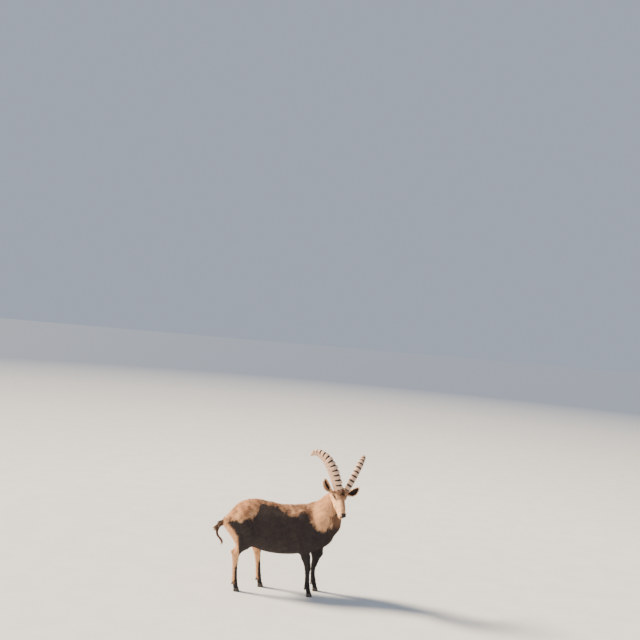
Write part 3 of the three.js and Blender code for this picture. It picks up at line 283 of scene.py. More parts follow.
def leg_box(leg):
    xs = [j[0] for j in leg["joints"]]
    low_y, high_y = (-230, 0) if leg["side"] < 0 else (0, 230)
    if leg["fore"]:
        return (min(xs + [212]) - 70, low_y, 0), (max(xs) + 150, high_y, 900)
    return (-540, low_y, 0), (max(xs) + 90, high_y, 890)


def widened(p):
    return np.array([p[0], p[1] * NARROW, p[2]])


def body_field(p):
    drawn = widened(p)
    d = near(drawn, (-540, -200, 380), (480, 200, 940), trunk)
    for leg in LEGS.values():
        d = blend(d, near(drawn, *leg_box(leg), lambda r, leg=leg: leg_field(r, leg)), 55)
    return blend(d, near(drawn, (200, -260, 460), (700, 200, 1130), neck_field), 70)


def near_head(p):
    return near(p, (480, -400, 850), (760, 0, 1200), lambda r: head_field(to_head(r)))


def whole_field(p):
    d = blend(body_field(p), near_head(p), 34)
    return blend(d, near(p, (-660, -50, 560), (-460, 50, 740), lambda r: chain(r, TAIL_JOINTS, 30)), 26)


def head_share(p):
    """1 where the head lies nearest, 0 on the neck and body."""
    head = near_head(p)
    close = head < FAR
    share = np.zeros(p.shape[1])
    if close.any():
        share[close] = smooth(-26, 20, neck_field(widened(p)[:, close]) - head[close])
    return share


# Ears: curved sheets, cupped forward and out
EAR_ROOT = np.array([-70, 71, -22])
EAR_BOW, EAR_SAG, EAR_TIP_BACK = 10, 24, 8
EAR_AIM = {
    "right": dict(side=-1, rise=126, out=44, facing=(0.66, -0.5, 0.5), sag=(0.5, -0.8, 0)),
    "left": dict(side=1, rise=94, out=48, facing=(0.62, -0.3, 0.7), sag=(0.8, 0.8, -0.2)),
}
# Outer and inner radius of the cup and half its angle, against the share of its length
EAR_T = [0, 0.14, 0.27, 0.42, 0.58, 0.74, 0.88, 0.97, 1.0]
EAR_SIZES = [
    [17, 20, 27, 33, 34, 31, 23, 12.5, 7], [3, 7, 20, 28, 29.4, 27, 19.6, 10, 5.2],
    np.radians([158, 150, 132, 115, 102, 90, 78, 64, 48]),
]


def ear_along(aim):
    rise, out = math.radians(aim["rise"]), math.radians(aim["out"])
    level = math.cos(out)
    return np.array([math.cos(rise) * level, aim["side"] * math.sin(out), math.sin(rise) * level])


def ear_place(q, aim):
    """How far along the ear a point is, its place across and out of the ear's own spine, and the ear's
    sizes there."""
    along = ear_along(aim)
    opens, low = (laid_flat(np.array(aim[word]), along) for word in ("facing", "sag"))
    across = np.cross(along, opens)
    r = q - (EAR_ROOT * [1, aim["side"], 1])[:, None]
    t = along @ r / EAR_LENGTH
    tc = np.clip(t, 0, 1)
    arch = np.sin(math.pi * tc)
    spine = EAR_SAG * arch * low[:, None] - (EAR_BOW * arch + EAR_TIP_BACK * tc) * opens[:, None]
    sizes = [np.interp(tc, EAR_T, v) for v in EAR_SIZES]
    return t, across @ r - across @ spine, opens @ r - opens @ spine, *sizes


def ear_field(q, aim):
    t, a, o, outer, inner, half = ear_place(q, aim)
    radius = (outer + inner) / 2
    thick = np.maximum((outer - inner) / 2 - 0.6, 1.35)
    on_arc = np.abs(np.hypot(a, o) - radius)
    at_end = np.hypot(np.abs(a) - radius * np.sin(half), o + radius * np.cos(half))
    d = np.where(np.abs(np.arctan2(a, -o)) < half, on_arc, at_end) - thick
    beyond = np.maximum(np.maximum(t - 1, -t), 0) * EAR_LENGTH
    return np.where(beyond > 0, np.hypot(np.maximum(d, 0), beyond), d)


def on_ears(q):
    """For each ear: where it is, how far along, how far round towards its rim, and whether inside the cup."""
    for aim in EAR_AIM.values():
        t, a, o, outer, inner, half = ear_place(q, aim)
        reach = np.hypot(a, o)
        radius = (outer + inner) / 2
        on = (t > 0.16) & (t < 1.2) & (reach < radius + 12)
        yield aim, on, t, np.abs(np.arctan2(a, -o)) / half, reach < radius


# Eyes: where each lies, and its opening between the lids
EYE_LOOK = np.array([0.34, 0.93, 0.1])
OPENING_HALF, OPENING_UP, OPENING_DOWN, OPENING_CANT = 15.5, 9.6, 7.6, 12


def eye_frame(side):
    look = unit(EYE_LOOK * [1, side, 1])
    level = unit([look[1] * side, -look[0] * side, 0])
    up = np.cross(look, level)
    up = up if up[2] > 0 else -up
    cant = math.radians(OPENING_CANT)
    along = level * math.cos(cant) - up * math.sin(cant)
    return EYE_PLACE * [1, side, 1], look, along, up * math.cos(cant) + level * math.sin(cant)


def lens(x, z):
    """Distance outside an almond opening, in the eye's own plane."""
    above, below = ((OPENING_HALF**2 + tall**2) / (2 * tall) for tall in (OPENING_UP, OPENING_DOWN))
    return np.maximum(np.hypot(x, z - (OPENING_UP - above)) - above,
                      np.hypot(x, z + (OPENING_DOWN - below)) - below)


def eye_region(d, q):
    for side in (-1, 1):
        centre, look, along, rise = eye_frame(side)
        r = q - centre[:, None]
        depth, x, z = look @ r, along @ r, rise @ r
        reach = np.sqrt((r**2).sum(0))
        opening = lens(x, z)
        d = blend(d, reach - (EYE_RADIUS + 2.9), 7)
        # A fold above the upper lid
        fold = np.abs(opening - 7.5 + 0.1 * x) - 1.7 + 9 * (z < 0)
        d = blend(d, np.maximum(np.abs(reach - (EYE_RADIUS + 3.6)) - 1.6, fold), 4)
        d = carve(d, np.maximum(opening, 2 - depth), 1.6)
    return d


MOUTH_BACK, MOUTH_HEIGHT = 148, -51
NOSTRIL = dict(place=(210, 15, -8), size=(8.5, 3.6, 5.5), pitch=-38, yaw=32)


def nostril_field(q, side):
    turn = turn_matrix(0, NOSTRIL["pitch"], 0) @ turn_matrix(side * NOSTRIL["yaw"], 0, 0)
    r = turn.T @ (q - (np.array(NOSTRIL["place"]) * [1, side, 1])[:, None])
    return blob(r, (0, 0, 0), NOSTRIL["size"])


def mouth_line(q):
    """How far above the line of the mouth a point is, and how much of the line is there."""
    turn = np.arctan2(q[1], q[0] - MOUTH_BACK)
    rise = -4 * np.sin(turn) ** 2 + 5 * np.maximum(-np.cos(turn), 0)
    share = smooth(126, 100, np.degrees(np.abs(turn))) * smooth(84, 110, q[0])
    return q[2] - (MOUTH_HEIGHT + rise), share


def ridge(v, at, width):
    return np.exp(-(((v - at) / width) ** 2))


def face_field(d, q):
    """The finer forms of the face over the plain head: brow, cheek ridges, nose and lips."""
    m = folded(q)
    d = joined(d, m, [
        (12, rod, (-24, 47, 25), (20, 43, 23), 7, 6), (16, rod, (18, 42, -20), (96, 26, -30), 7, 7),
        (20, rod, (-60, 50, -34), (4, 45, -26), 9, 8), (6, rod, (203, 15, -1), (212, 21, -12), 5.5, 5)])
    d = carve(d, rod(m, (150, 36, -8), (118, 44, -14), 4, 4), 16)
    off, share = mouth_line(q)
    d = d + share * (4.4 * ridge(off, 0, 1.9) - 1.2 * ridge(off, 6, 4) - 0.9 * ridge(off, -6, 4))
    d = d + 2.2 * ridge(q[1], 0, 2.0) * smooth(196, 206, q[0]) * smooth(-6, -16, q[2])
    for side in (-1, 1):
        d = carve(d, nostril_field(q, side), 2.5)
    return d


CORONET_HEIGHT = 36
CORONET_SLOPE = 0.22


def coronet(p, leg):
    """How far above the claws' upper rim a point is."""
    return p[2] - (CORONET_HEIGHT + 0.2 + CORONET_SLOPE * (p[0] - leg["hoof"][0]))


# Lower edge of the pale wool, x and z. Above it lies painted sunlight on real pale wool, below it painted
# shade on the real dark flank
SUNLIT_EDGE = np.array([
    (-560, 660), (-492, 689), (-435, 735), (-377, 765), (-304, 748), (-214, 765), (-194, 825),
    (-160, 896), (-100, 894), (-31, 882), (43, 863), (96, 838), (149, 817), (228, 800), (242, 838),
    (278, 860), (331, 837), (366, 789), (420, 748), (470, 716), (500, 722), (524, 770), (545, 840),
    (580, 880),
], float)


def above_sunlit_edge(p):
    return p[2] - np.interp(p[0], *SUNLIT_EDGE.T)


def coat_depth(p):
    """How deep the skin lies under the coat's surface."""
    x, z = p[0], p[2]
    sunlit_fleece = smooth(-40, 30, above_sunlit_edge(p))
    depth = mix(6.0, 14.0, sunlit_fleece)
    depth = mix(depth, mix(8.0, 13.0, sunlit_fleece), smooth(330, 430, x))
    depth = mix(depth, 2.4, smooth(520, 360, z))
    depth = mix(depth, 12.0, smooth(-530, -560, x))
    return mix(depth, 2.6, head_share(p))


def skin_field(p):
    q = to_head(p)
    d = whole_field(p) + coat_depth(p)
    low = p[2] < 120
    if low.any():
        foot = p[:, low]
        v = d[low]
        for leg in LEGS.values():
            mine = (np.abs(foot[0] - leg["hoof"][0]) < 90) & (np.sign(foot[1]) == leg["side"])
            cleft = ridge(foot[1], leg["hoof"][1], 4.5) * smooth(86, 50, foot[2])
            v = np.where(mine, np.maximum(v + 5 * cleft, -coronet(foot, leg)), v)
        d[low] = v
    by_head = (np.abs(q - column(15, 0, 5)) < column(245, 240, 195)).all(0)
    if by_head.any():
        h = q[:, by_head]
        v = face_field(d[by_head], h)
        for aim in EAR_AIM.values():
            v = blend(v, ear_field(h, aim), 6)
        d[by_head] = eye_region(v, h)
    return d


# Meshing
def gradient(field, p, step=0.6):
    ways = (np.eye(3) * step)[:, :, None]
    return np.array([(field(p + way) - field(p - way)) / (2 * step) for way in ways])


def grid_lines(lo, hi, coarse, fine, fine_lo, fine_hi):
    """Lines fine apart between fine_lo and fine_hi, growing wider away from there. Whole blocks of cells."""
    out = [lo]
    while out[-1] < hi or len(out) % BLOCK != 1:
        away = max(fine_lo - out[-1], out[-1] - fine_hi, 0)
        out.append(out[-1] + min(coarse, fine + 0.15 * away))
    return np.array(out)


BLOCK = 4
AT_ONCE = 400000


def mesh_field(field, axes):
    """Vertices in rows, quads and outward normals of the field's surface, one vertex to each crossed cell."""
    # Worked out on every fourth line first, and on all lines only in the blocks that the surface may cross
    rough = [a[::BLOCK] for a in axes]
    coarse = field(np.array(np.meshgrid(*rough, indexing="ij")).reshape(3, -1))
    coarse = coarse.reshape([len(r) for r in rough])
    ends = slice(None, -1), slice(1, None)
    corners = np.array([coarse[i, j, k] for i in ends for j in ends for k in ends])
    diagonal = np.sqrt(sum(s**2 for s in np.meshgrid(*[np.diff(r) for r in rough], indexing="ij")))
    active = (np.abs(corners).min(0) < diagonal) | ((corners < 0).any(0) & (corners >= 0).any(0))
    wanted = np.pad(active.repeat(BLOCK, 0).repeat(BLOCK, 1).repeat(BLOCK, 2), ((0, 1),) * 3)
    for axis in range(3):
        wanted |= np.roll(wanted, 1, axis)
    value = coarse[np.ix_(*[np.arange(len(a)) // BLOCK for a in axes])].astype(np.float32)
    where = np.nonzero(wanted)
    exact = np.array([axes[k][where[k]] for k in range(3)])
    starts = range(0, exact.shape[1], AT_ONCE)
    value[where] = np.concatenate([field(exact[:, s:s + AT_ONCE]) for s in starts])
    inside = value < 0
    strides = np.array([value.shape[1] * value.shape[2], value.shape[2], 1])
    cells, crossing, rings = [], [], []
    for axis in range(3):
        change = np.argwhere(np.diff(inside, axis=axis))
        other = change + np.eye(3, dtype=int)[axis]
        va, vb = value[tuple(change.T)], value[tuple(other.T)]
        pa, pb = (np.array([axes[k][c[:, k]] for k in range(3)]) for c in (change, other))
        u, v = strides[(axis + 1) % 3], strides[(axis + 2) % 3]
        ring = np.array([change @ strides - du * u - dv * v for du, dv in ((1, 1), (0, 1), (0, 0), (1, 0))])
        cells.append(ring.flatten())
        crossing.append(np.tile(pa + (pb - pa) * (va / (va - vb)), 4))
        ring[:, vb < 0] = ring[::-1, vb < 0]
        rings.append(ring)
    kept, inverse = np.unique(np.concatenate(cells), return_inverse=True)
    crossing = np.concatenate(crossing, axis=1)
    start = np.array([np.bincount(inverse, c) for c in crossing]) / np.bincount(inverse)
    cell = np.unravel_index(kept, value.shape)
    cell_size = np.min([np.diff(axes[k])[cell[k]] for k in range(3)], axis=0)
    p = start
    for _ in range(2):
        g = gradient(field, p)
        p = p - g * field(p) / np.maximum((g**2).sum(0), 0.05)
        moved = p - start
        far = np.sqrt((moved**2).sum(0))
        p = start + moved * np.minimum(1, 0.5 * cell_size / np.maximum(far, 1e-9))
    return p.T, np.searchsorted(kept, np.concatenate(rings, axis=1)).T, unit(gradient(field, p).T)


def new_object(name, verts, faces, material, smooth_faces=True):
    """faces is a list of whole-number arrays, one array for each number of corners."""
    mesh = bpy.data.meshes.new(name)
    loops = np.concatenate([f.reshape(-1) for f in faces]).astype(np.int32)
    sizes = np.concatenate([np.full(len(f), f.shape[1]) for f in faces])
    starts = np.concatenate([[0], np.cumsum(sizes)[:-1]]).astype(np.int32)
    for layer, count, key, values in (
            (mesh.vertices, len(verts), "co", np.asarray(verts, np.float32).reshape(-1)),
            (mesh.loops, len(loops), "vertex_index", loops),
            (mesh.polygons, len(starts), "loop_start", starts)):
        layer.add(count)
        layer.foreach_set(key, values)
    mesh.polygons.foreach_set("use_smooth", np.full(len(starts), smooth_faces))
    mesh.update(calc_edges=True)
    mesh.validate()
    mesh.materials.append(material)
    obj = bpy.data.objects.new(name, mesh)
    bpy.context.scene.collection.objects.link(obj)
    return obj


def loft(rings, first, last, flip=False):
    """Vertices and faces of a closed tube through equal rings, capped by fans to its two end points.
    flip is for rings that run clockwise as seen from the last."""
    rows, sides = rings.shape[:2]
    i = np.arange(sides)
    after = (i + 1) % sides
    base = (np.arange(rows - 1) * sides)[:, None]
    quads = np.stack([base + i, base + after, base + after + sides, base + i + sides], -1).reshape(-1, 4)
    end, total = (rows - 1) * sides, rows * sides
    tris = np.concatenate([np.stack([after, i, np.full(sides, total)], -1),
                           np.stack([end + i, end + after, np.full(sides, total + 1)], -1)])
    faces = [quads[:, ::-1], tris[:, ::-1]] if flip else [quads, tris]
    return np.concatenate([rings.reshape(-1, 3), [first, last]]), faces


def add_vectors(obj, name, values):
    attribute = obj.data.attributes.new(name, "FLOAT_VECTOR", "POINT")
    attribute.data.foreach_set("vector", np.asarray(values, np.float32).reshape(-1))


# Markings, the same for the skin and the coat
def wave(p, scale, seed):
    """A smooth value from -1 to 1 that wanders through space."""
    rng = np.random.default_rng(seed)
    total = np.zeros(p.shape[1])
    for octave in range(4):
        k = rng.normal(size=(3, 3)) / scale * (1 + 0.7 * octave)
        s = np.sin(k @ p + rng.uniform(0, 6.28, 3)[:, None])
        total += (s[0] * s[1] + s[1] * s[2] + s[2] * s[0]) / (1.4 + octave)
    return np.clip(total / 1.6, -1, 1)


# How far ahead of the shank's middle the painted sunlight, a bright tan, reaches on the back of each hind
# leg, against height
SUNLIT_REACH = ([60, 110, 240, 300, 372, 418, 453, 494, 554, 642, 700],
             [2, 0, 4, 26, 33, 8, -31, -63, -125, -190, -250])
# Tufts of cream wool that still hang on the rump, and a streak of bright hair behind the jaw
WOOL = [(-377, 768, 30), (-352, 733, 24), (-498, 758, 34), (-449, 880, 40), (-240, 800, 22), (180, 842, 26)]
STREAK = [from_head([-30, -62, -50]), from_head([-10, -59, -74]), (552, -172, 850), (560, -160, 762)]


def zones(p):
    """Shares of the body's coat zones at points in rows, and the wander that frays their edges."""
    x, _, z = p
    drift, fine = wave(p, 55, seed=5), wave(p, 20, seed=6)
    head = head_share(p)
    body = 1 - head
    return dict(
        drift=drift, fine=fine, head=head, beyond=near_head(p),
        throat=smooth(520, 556, x + 10 * drift) * smooth(900, 860, z) * body,
        # The pale wool's share, which also carries painted sunlight on the back, rump and neck
        sunlit_fleece=smooth(-10, 12, above_sunlit_edge(p) + (26 * drift + 15 * fine)) * body * (x > -545),
        neck=smooth(320, 430, x) * body,
        low=smooth(500, 380, z),
        tail=smooth(-520, -550, x),
    )


def shank_at(leg, z):
    joints = leg["joints"][::-1]
    return np.interp(z, [j[2] for j in joints], [j[0] for j in joints])


def face_marks(q, fine):
    """Rows pale, warm and bare on the head."""
    x, m, z = folded(q)
    left = q[1] > 0
    top = smooth(14, 30, z + 0.10 * x)
    bridge = smooth(34, 16, m + 5 * fine) * top * smooth(66, 26, x) * smooth(-30, -6, x)
    poll = smooth(-14, -40, x) * smooth(26, 44, z)
    muzzle = smooth(181, 194, x - 0.15 * z + 3 * fine)
    chin = smooth(120, 160, x) * smooth(-58, -66, z)
    beard = chin * smooth(-78, -88, z)
    pale = 0.93 + 0.05 * fine
    # Ridge of the nose, forehead, brow, painted shade round the left eye, poll, the dark spot before the eye,
    # the pale patch below it, muzzle, lip, chin and beard
    for tone, share in (
            (0.70, smooth(28, 12, m + 5 * fine) * top * smooth(190, 150, x)),
            (0.60, bridge),
            (0.50, 0.7 * smooth(22, 30, z) * smooth(-46, -20, x) * smooth(34, 18, x) * smooth(60, 48, m)),
            # Painted shade round the left eye, on the side of the face away from the light
            (0.30, 0.7 * smooth(46, 20, apart(np.array([x, m, z]), (4, 46, 10))) * left),
            (0.22, poll),
            (0.14, 0.85 * smooth(15, 6, np.hypot(x - 28, (z + 2) * 1.3)) * (m > 26)),
            (0.88, 0.7 * smooth(15, 7, np.hypot((x - 6) * 0.6, z + 15)) * (m > 28)),
            # Dark hair round the nose; its further reach on the left side is painted shade
            (0.10, muzzle * smooth(-44, -36, z) * smooth(30, 22, m - 4 * np.sign(q[1]))),
            (0.95, 0.8 * smooth(-36, -42, z) * smooth(-58, -52, z) * smooth(150, 176, x)),
            (0.80, chin),
            (0.34, beard)):
        pale = mix(pale, tone, share)
    warm = mix(mix(0.42, 0.80, np.maximum(bridge, poll)), 0.7, beard)
    off, share = mouth_line(q)
    nose = smooth(199, 205, x + 0.1 * z) * smooth(-38, -30, z) * smooth(25, 19, m)
    bare = np.maximum(nose, 0.8 * smooth(2.6, 1.4, np.abs(off)) * share)
    for side in (-1, 1):
        centre, look, along, rise = eye_frame(side)
        r = q - centre[:, None]
        lids = smooth(7.5, 3.5, lens(along @ r, rise @ r)) * ((look @ r) > 0)
        bare = np.maximum(bare, np.maximum(smooth(4, 1, nostril_field(q, side)), lids))
    return pale, warm, bare


def markings(p):
    """Rows pale, warm and bare: dark brown to cream, how rusty, and how much dark naked skin shows."""
    q = to_head(p)
    x, y, z = p
    zone = zones(p)
    drift, fine, sunlit_fleece, neck, head = (zone[k] for k in ("drift", "fine", "sunlit_fleece", "neck", "head"))
    patch = wave(p, 26, seed=7)
    rump = smooth(-120, -330, x)
    # Tone of the pale wool on the body, brightened as painted sunlight
    wool = mix(0.60, 0.79, rump) + 0.18 * patch + 0.07 * fine
    # Short dark summer hair shows between the locks that are left
    wool = mix(wool, 0.34, 0.7 * smooth(0.30, 0.62, wave(p, 34, seed=8)) * (1 - neck))
    throat = zone["throat"] * neck
    # The throat's brown darkens towards the chest, partly as painted shade
    throat_shade_tone = mix(0.10, 0.38, smooth(700, 800, z + 20 * drift)) + 0.05 * patch
    held = [(0.90, 0.35, smooth(size, 0.55 * size, np.hypot(x - wx, z - wz) + 9 * patch) * (1 - neck))
            for wx, wz, size in WOOL]
    streak = np.min([rod(p, a, b, 0, 0) for a, b in zip(STREAK[:-1], STREAK[1:])], axis=0)
    # The pale wool is real moulting coat with painted sunlight on it; the dark flank, chest and legs below it
    # are real dark brown with painted shade on them
    layers = [
        (wool, mix(0.25, 0.80, rump), sunlit_fleece),
        (0.93 + 0.14 * patch + 0.08 * fine, 0.80, sunlit_fleece * neck),
        (0.07, None, neck * (1 - sunlit_fleece)),
        (throat_shade_tone, 0.75, throat),
        *held,
        (0.93, 0.3, smooth(17, 8, streak + 5 * fine)),
        (0.05 + 0.02 * drift, None, zone["low"] * (1 - sunlit_fleece)),
    ]
    # Painted sunlight, a bright tan, on the backs of the thighs and hocks
    for leg in (LEGS["hind_right"], LEGS["hind_left"]):
        off = x - shank_at(leg, z) + 4 * fine
        reach = np.interp(z, *SUNLIT_REACH)
        behind = smooth(reach + 8, reach - 8, off) * smooth(60, 110, z) * smooth(700, 670, z)
        layers.append((1.0, 0.95, behind * (np.sign(y) == leg["side"])))
    belly = smooth(50, 12, z - trunk_at(x)[2]) * smooth(86, 40, np.abs(y)) * (x > -330) * (x < 260)
    face_pale, face_warm, face_bare = face_marks(q, fine)
    layers += [(0.5, None, belly), (0.27 + 0.06 * fine, 0.75, zone["tail"]), (face_pale, face_warm, head)]
    # Under all the layers lies the flank's dark brown, darkened further as painted shade
    pale, warm, bare = 0.10 + 0.03 * drift, 0.10 + 0 * x, face_bare * head
    for own_pale, own_warm, share in layers:
        pale = mix(pale, own_pale, share)
        warm = warm if own_warm is None else mix(warm, own_warm, share)
    # Ears: pale rims, dark inside. The left ear's narrower rim and darker back are painted shade
    for aim, on, t, turn, within in on_ears(q):
        right = aim["side"] < 0
        start, full, cup, back = (0.14, 0.32, 0.10, 0.62) if right else (0.6, 0.8, 0.2, 0.3)
        rim = np.maximum(smooth(start, full, turn), smooth(0.90, 0.97, t))
        pale = np.where(on, mix(np.where(within, cup, back), 0.95, rim), pale)
        warm = np.where(on, 0.45, warm)
        bare = np.where(on, 0.35 * within * (1 - rim), bare)
    return np.clip([pale, warm, bare], 0, 1)


# The lie of the coat
def lie_of(p, n):
    q = to_head(p)
    x, _, z = p
    flow = mix(column(-0.97, 0, -0.2), column(-0.62, 0, -0.78), smooth(860, 560, z))
    flow = mix(flow, column(-0.3, 0, -0.95), smooth(170, 300, x) * smooth(880, 700, z))
    flow = mix(flow, column(-0.12, 0, -1.0), smooth(480, 400, z))
    rear = smooth(40, -60, (x - 480) - (z - 800) * 0.35)
    on_neck = mix(column(-0.10, 0.10, -1.0), column(-0.62, 0.26, -0.74), rear)
    flow = mix(flow, on_neck, smooth(350, 460, x) * smooth(560, 640, z))
    flow = mix(flow, column(-0.72, 0, -0.69), smooth(-515, -545, x))
    aside = 0.25 * np.sign(q[1]) * smooth(0, 30, np.abs(q[1]))
    sweep = HEAD_TURN @ np.array([-1 + 0 * x, aside, -0.3 + 0 * x])
    sweep = mix(sweep, column(0, 0, -1.0), 0.7 * smooth(-40, -80, q[2]) * smooth(60, 120, q[0]))
    flow = mix(flow, sweep, head_share(p))
    for aim, on, *_ in on_ears(q):
        flow = np.where(on, head_vector(ear_along(aim))[:, None], flow)
    return laid_flat(flow.T, n)


# Materials
class Shade:
    """A material's nodes, with short ways to add them. A value is a number, a colour or a node's socket."""

    def __init__(self, name):
        self.material = bpy.data.materials.new(name)
        self.material.use_nodes = True
        self.tree = self.material.node_tree
        self.tree.nodes.clear()
        self.shader = self.tree.nodes.new("ShaderNodeBsdfPrincipled")
        self.node("OutputMaterial", {0: self.shader.outputs[0]})
        self.place = self.node("TexCoord")["Object"]

    def feed(self, made, values):
        for key, value in values.items():
            if isinstance(value, bpy.types.NodeSocket):
                self.tree.links.new(value, made.inputs[key])
            else:
                made.inputs[key].default_value = value

    def node(self, kind, values=None, **settings):
        made = self.tree.nodes.new("ShaderNode" + kind)
        for key, value in settings.items():
            setattr(made, key, value)
        self.feed(made, values or {})
        return made.outputs

    def math(self, operation, *values):
        return self.node("Math", dict(enumerate(values)), operation=operation)[0]

    def add(self, a, b):
        return self.math("ADD", a, b)

    def times(self, a, b, plus=0.0):
        return self.math("MULTIPLY_ADD", a, b, plus)

    def swing(self, value, gain):
        """A noise value from 0 to 1 turned into one that swings by gain about zero."""
        return self.times(value, gain, -gain / 2)

    def parts(self, name):
        """The three values of one of the mesh's attributes."""
        return self.node("SeparateXYZ", {0: self.node("Attribute", attribute_name=name)["Vector"]})

    def combine(self, *values):
        return self.node("CombineXYZ", dict(enumerate(values)))[0]

    def noise(self, vector, scale, detail=3.0, roughness=0.55):
        values = {"Vector": vector, "Scale": scale, "Detail": detail, "Roughness": roughness}
        return self.node("TexNoise", values)[0]

    def bump(self, height, strength, distance):
        return self.node("Bump", {"Height": height, "Strength": strength, "Distance": distance})[0]

    def mixed(self, fac, a, b, **how):
        return self.node("Mix", {0: fac, 6: a, 7: b}, data_type="RGBA", **how)[2]

    def ramp(self, fac, *stops):
        outputs = self.node("ValToRGB", {0: fac})
        elements = outputs[0].node.color_ramp.elements
        while len(elements) < len(stops):
            elements.new(0.5)
        for element, (at, *colour) in zip(elements, stops):
            element.position = at
            element.color = (*colour, 1)
        return outputs[0]

    def done(self, **values):
        """The material, once its shader has these values. Their names have underscores for spaces."""
        self.feed(self.shader, {key.replace("_", " "): value for key, value in values.items()})
        return self.material


# The two darkest coat tones: dark brown leaning blue-grey, as painted shade
SHADE_TINTED_DARK = (0.016, 0.014, 0.018)
SHADE_TINTED_BROWN = (0.078, 0.054, 0.046)
TAN = (0.35, 0.195, 0.115)
FAWN = (0.72, 0.425, 0.235)
CREAM = (1.0, 0.71, 0.43)
RUST_TINT = (1.0, 0.64, 0.40, 1)
BARE = (0.018, 0.015, 0.017, 1)


def coat_material(name, hair):
    """The coat's colours from its marks. hair is True for tufts, which also carry their own strand values."""
    s = Shade(name)
    light, warm, bare = s.parts("marks")
    speck = s.noise(s.place, 210.0, 2.0)
    pale = s.add(s.add(light, s.swing(s.noise(s.place, 26.0, 4.0), 0.16)), s.swing(speck, 0.08))
    if hair:
        # Each tuft has its own tone, darker at its root, with finer streaks along it
        along, own, across = s.parts("strand")
        lines = s.combine(s.times(across, 5.0, s.times(own, 91.0)), s.times(along, 0.6), own)
        height = s.noise(lines, 2.4, 3.0, 0.7)
        tone = s.add(s.add(s.swing(own, 0.30), s.times(along, 0.34, -0.22)), s.swing(height, 0.55))
        pale = s.times(tone, s.times(light, 0.9, 0.12), pale)
    else:
        # The skin between the tufts is darker, partly its under-fur and partly painted shade between the
        # tufts
        pale = s.times(pale, 0.62)
        height = s.times(speck, 0.8, s.noise(s.place, 420.0, 3.0, 0.7))
    plain = s.ramp(pale, (0.0, *SHADE_TINTED_DARK), (0.22, *SHADE_TINTED_BROWN), (0.50, *TAN), (0.74, *FAWN), (1.0, *CREAM))
    tinted = s.mixed(s.times(warm, 0.55), plain, RUST_TINT, blend_type="MULTIPLY")
    return s.done(
        Base_Color=s.mixed(bare, tinted, BARE), Normal=s.bump(height, 0.55, 0.0015),
        Roughness=s.times(bare, -0.36, 0.82), Specular_IOR_Level=0.25, Sheen_Weight=0.06,
        Sheen_Roughness=0.45)


def horn_material():
    """shape holds the share of the length, the tone, darker in the notches for dirt and painted shade, and
    how far round from the front.
    """
    s = Shade("horn")
    along, tone, around = s.parts("shape")
    grain = s.noise(s.combine(s.times(around, 60.0), s.times(along, 24.0), 0.0), 1.6, 5.0, 0.65)
    rings = s.noise(s.combine(s.times(along, 150.0), s.times(around, 1.2), 3.0), 1.0, 4.0, 0.7)
    for worn, gain in ((grain, 0.26), (s.noise(s.place, 36.0, 4.0), 0.44), (rings, 0.34)):
        tone = s.add(tone, s.swing(worn, gain))
    colour = s.ramp(tone, (0.0, 0.022, 0.016, 0.016), (0.3, 0.12, 0.078, 0.060), (0.6, 0.46, 0.28, 0.185),
                    (0.85, 0.67, 0.43, 0.29), (1.0, 0.77, 0.53, 0.38))
    return s.done(Base_Color=colour, Normal=s.bump(s.times(grain, 0.7, rings), 0.7, 0.0018),
                  Roughness=s.times(grain, 0.25, 0.45), Specular_IOR_Level=0.4)


def claw_material():
    s = Shade("claw")
    stretched = s.node("Mapping", {"Vector": s.place, "Scale": (60.0, 60.0, 420.0)})[0]
    tone = s.times(s.noise(stretched, 1.0), 0.5, s.times(s.noise(s.place, 90.0, 4.0), 0.5))
    colour = s.ramp(tone, (0.3, 0.018, 0.014, 0.012), (0.55, 0.055, 0.042, 0.034), (0.75, 0.13, 0.105, 0.085))
    return s.done(Base_Color=colour, Normal=s.bump(tone, 0.5, 0.0012), Roughness=0.48)


def eye_material():
    """gaze is ahead, up and out of the eye, as shares of its radius. The pupil is a level bar."""
    s = Shade("eye")
    ahead, up, _ = s.parts("gaze")
    across = s.math("SQRT", s.times(ahead, ahead, s.times(up, up)))
    spokes = s.noise(s.combine(s.math("ARCTAN2", up, ahead), s.times(across, 0.6), 0.0), 9.0, 4.0, 0.7)
    iris = s.ramp(s.add(across, s.swing(spokes, 0.24)), (0.1, 0.06, 0.027, 0.008),
                  (0.34, 0.19, 0.095, 0.026), (0.54, 0.15, 0.072, 0.02), (0.68, 0.03, 0.016, 0.008))
    bar = [s.math("POWER", s.math("ABSOLUTE", s.math("DIVIDE", value, half)), 3.0)
           for value, half in ((ahead, 0.50), (up, 0.22))]
    colour = s.mixed(s.math("LESS_THAN", s.add(*bar), 1.0), iris, (0.004, 0.004, 0.006, 1))
    colour = s.mixed(s.math("GREATER_THAN", across, 0.74), colour, (0.025, 0.015, 0.011, 1))
    return s.done(Base_Color=colour, Roughness=0.12, Coat_Weight=0.5, Coat_Roughness=0.03, IOR=1.4)


SKIN = coat_material("skin", False)
COAT = coat_material("coat", True)
HORN = horn_material()
CLAW = claw_material()
EYE = eye_material()


def piece(obj, slot, *nodes):
    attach(obj, "root")
    if nodes:
        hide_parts(*nodes)


# Skin. Each way of a grid has its start, its end, and the stretch round the head with the finest lines.
SKIN_GRID = [(-720, 860, 446, 800), (-430, 240, -396, -76), (14, 1290, 862, 1240)]
ROUGH_GRID = [(-720, 840, 540, 730), (-430, 260, -372, -130), (-40, 1290, 865, 1190)]
BODY_STEP, HEAD_STEP = ((6.5, 2.2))
ROUGH_STEPS = 34, 20


def grid(ways, coarse, fine):
    return [grid_lines(lo, hi, coarse, fine, *close) for lo, hi, *close in ways]


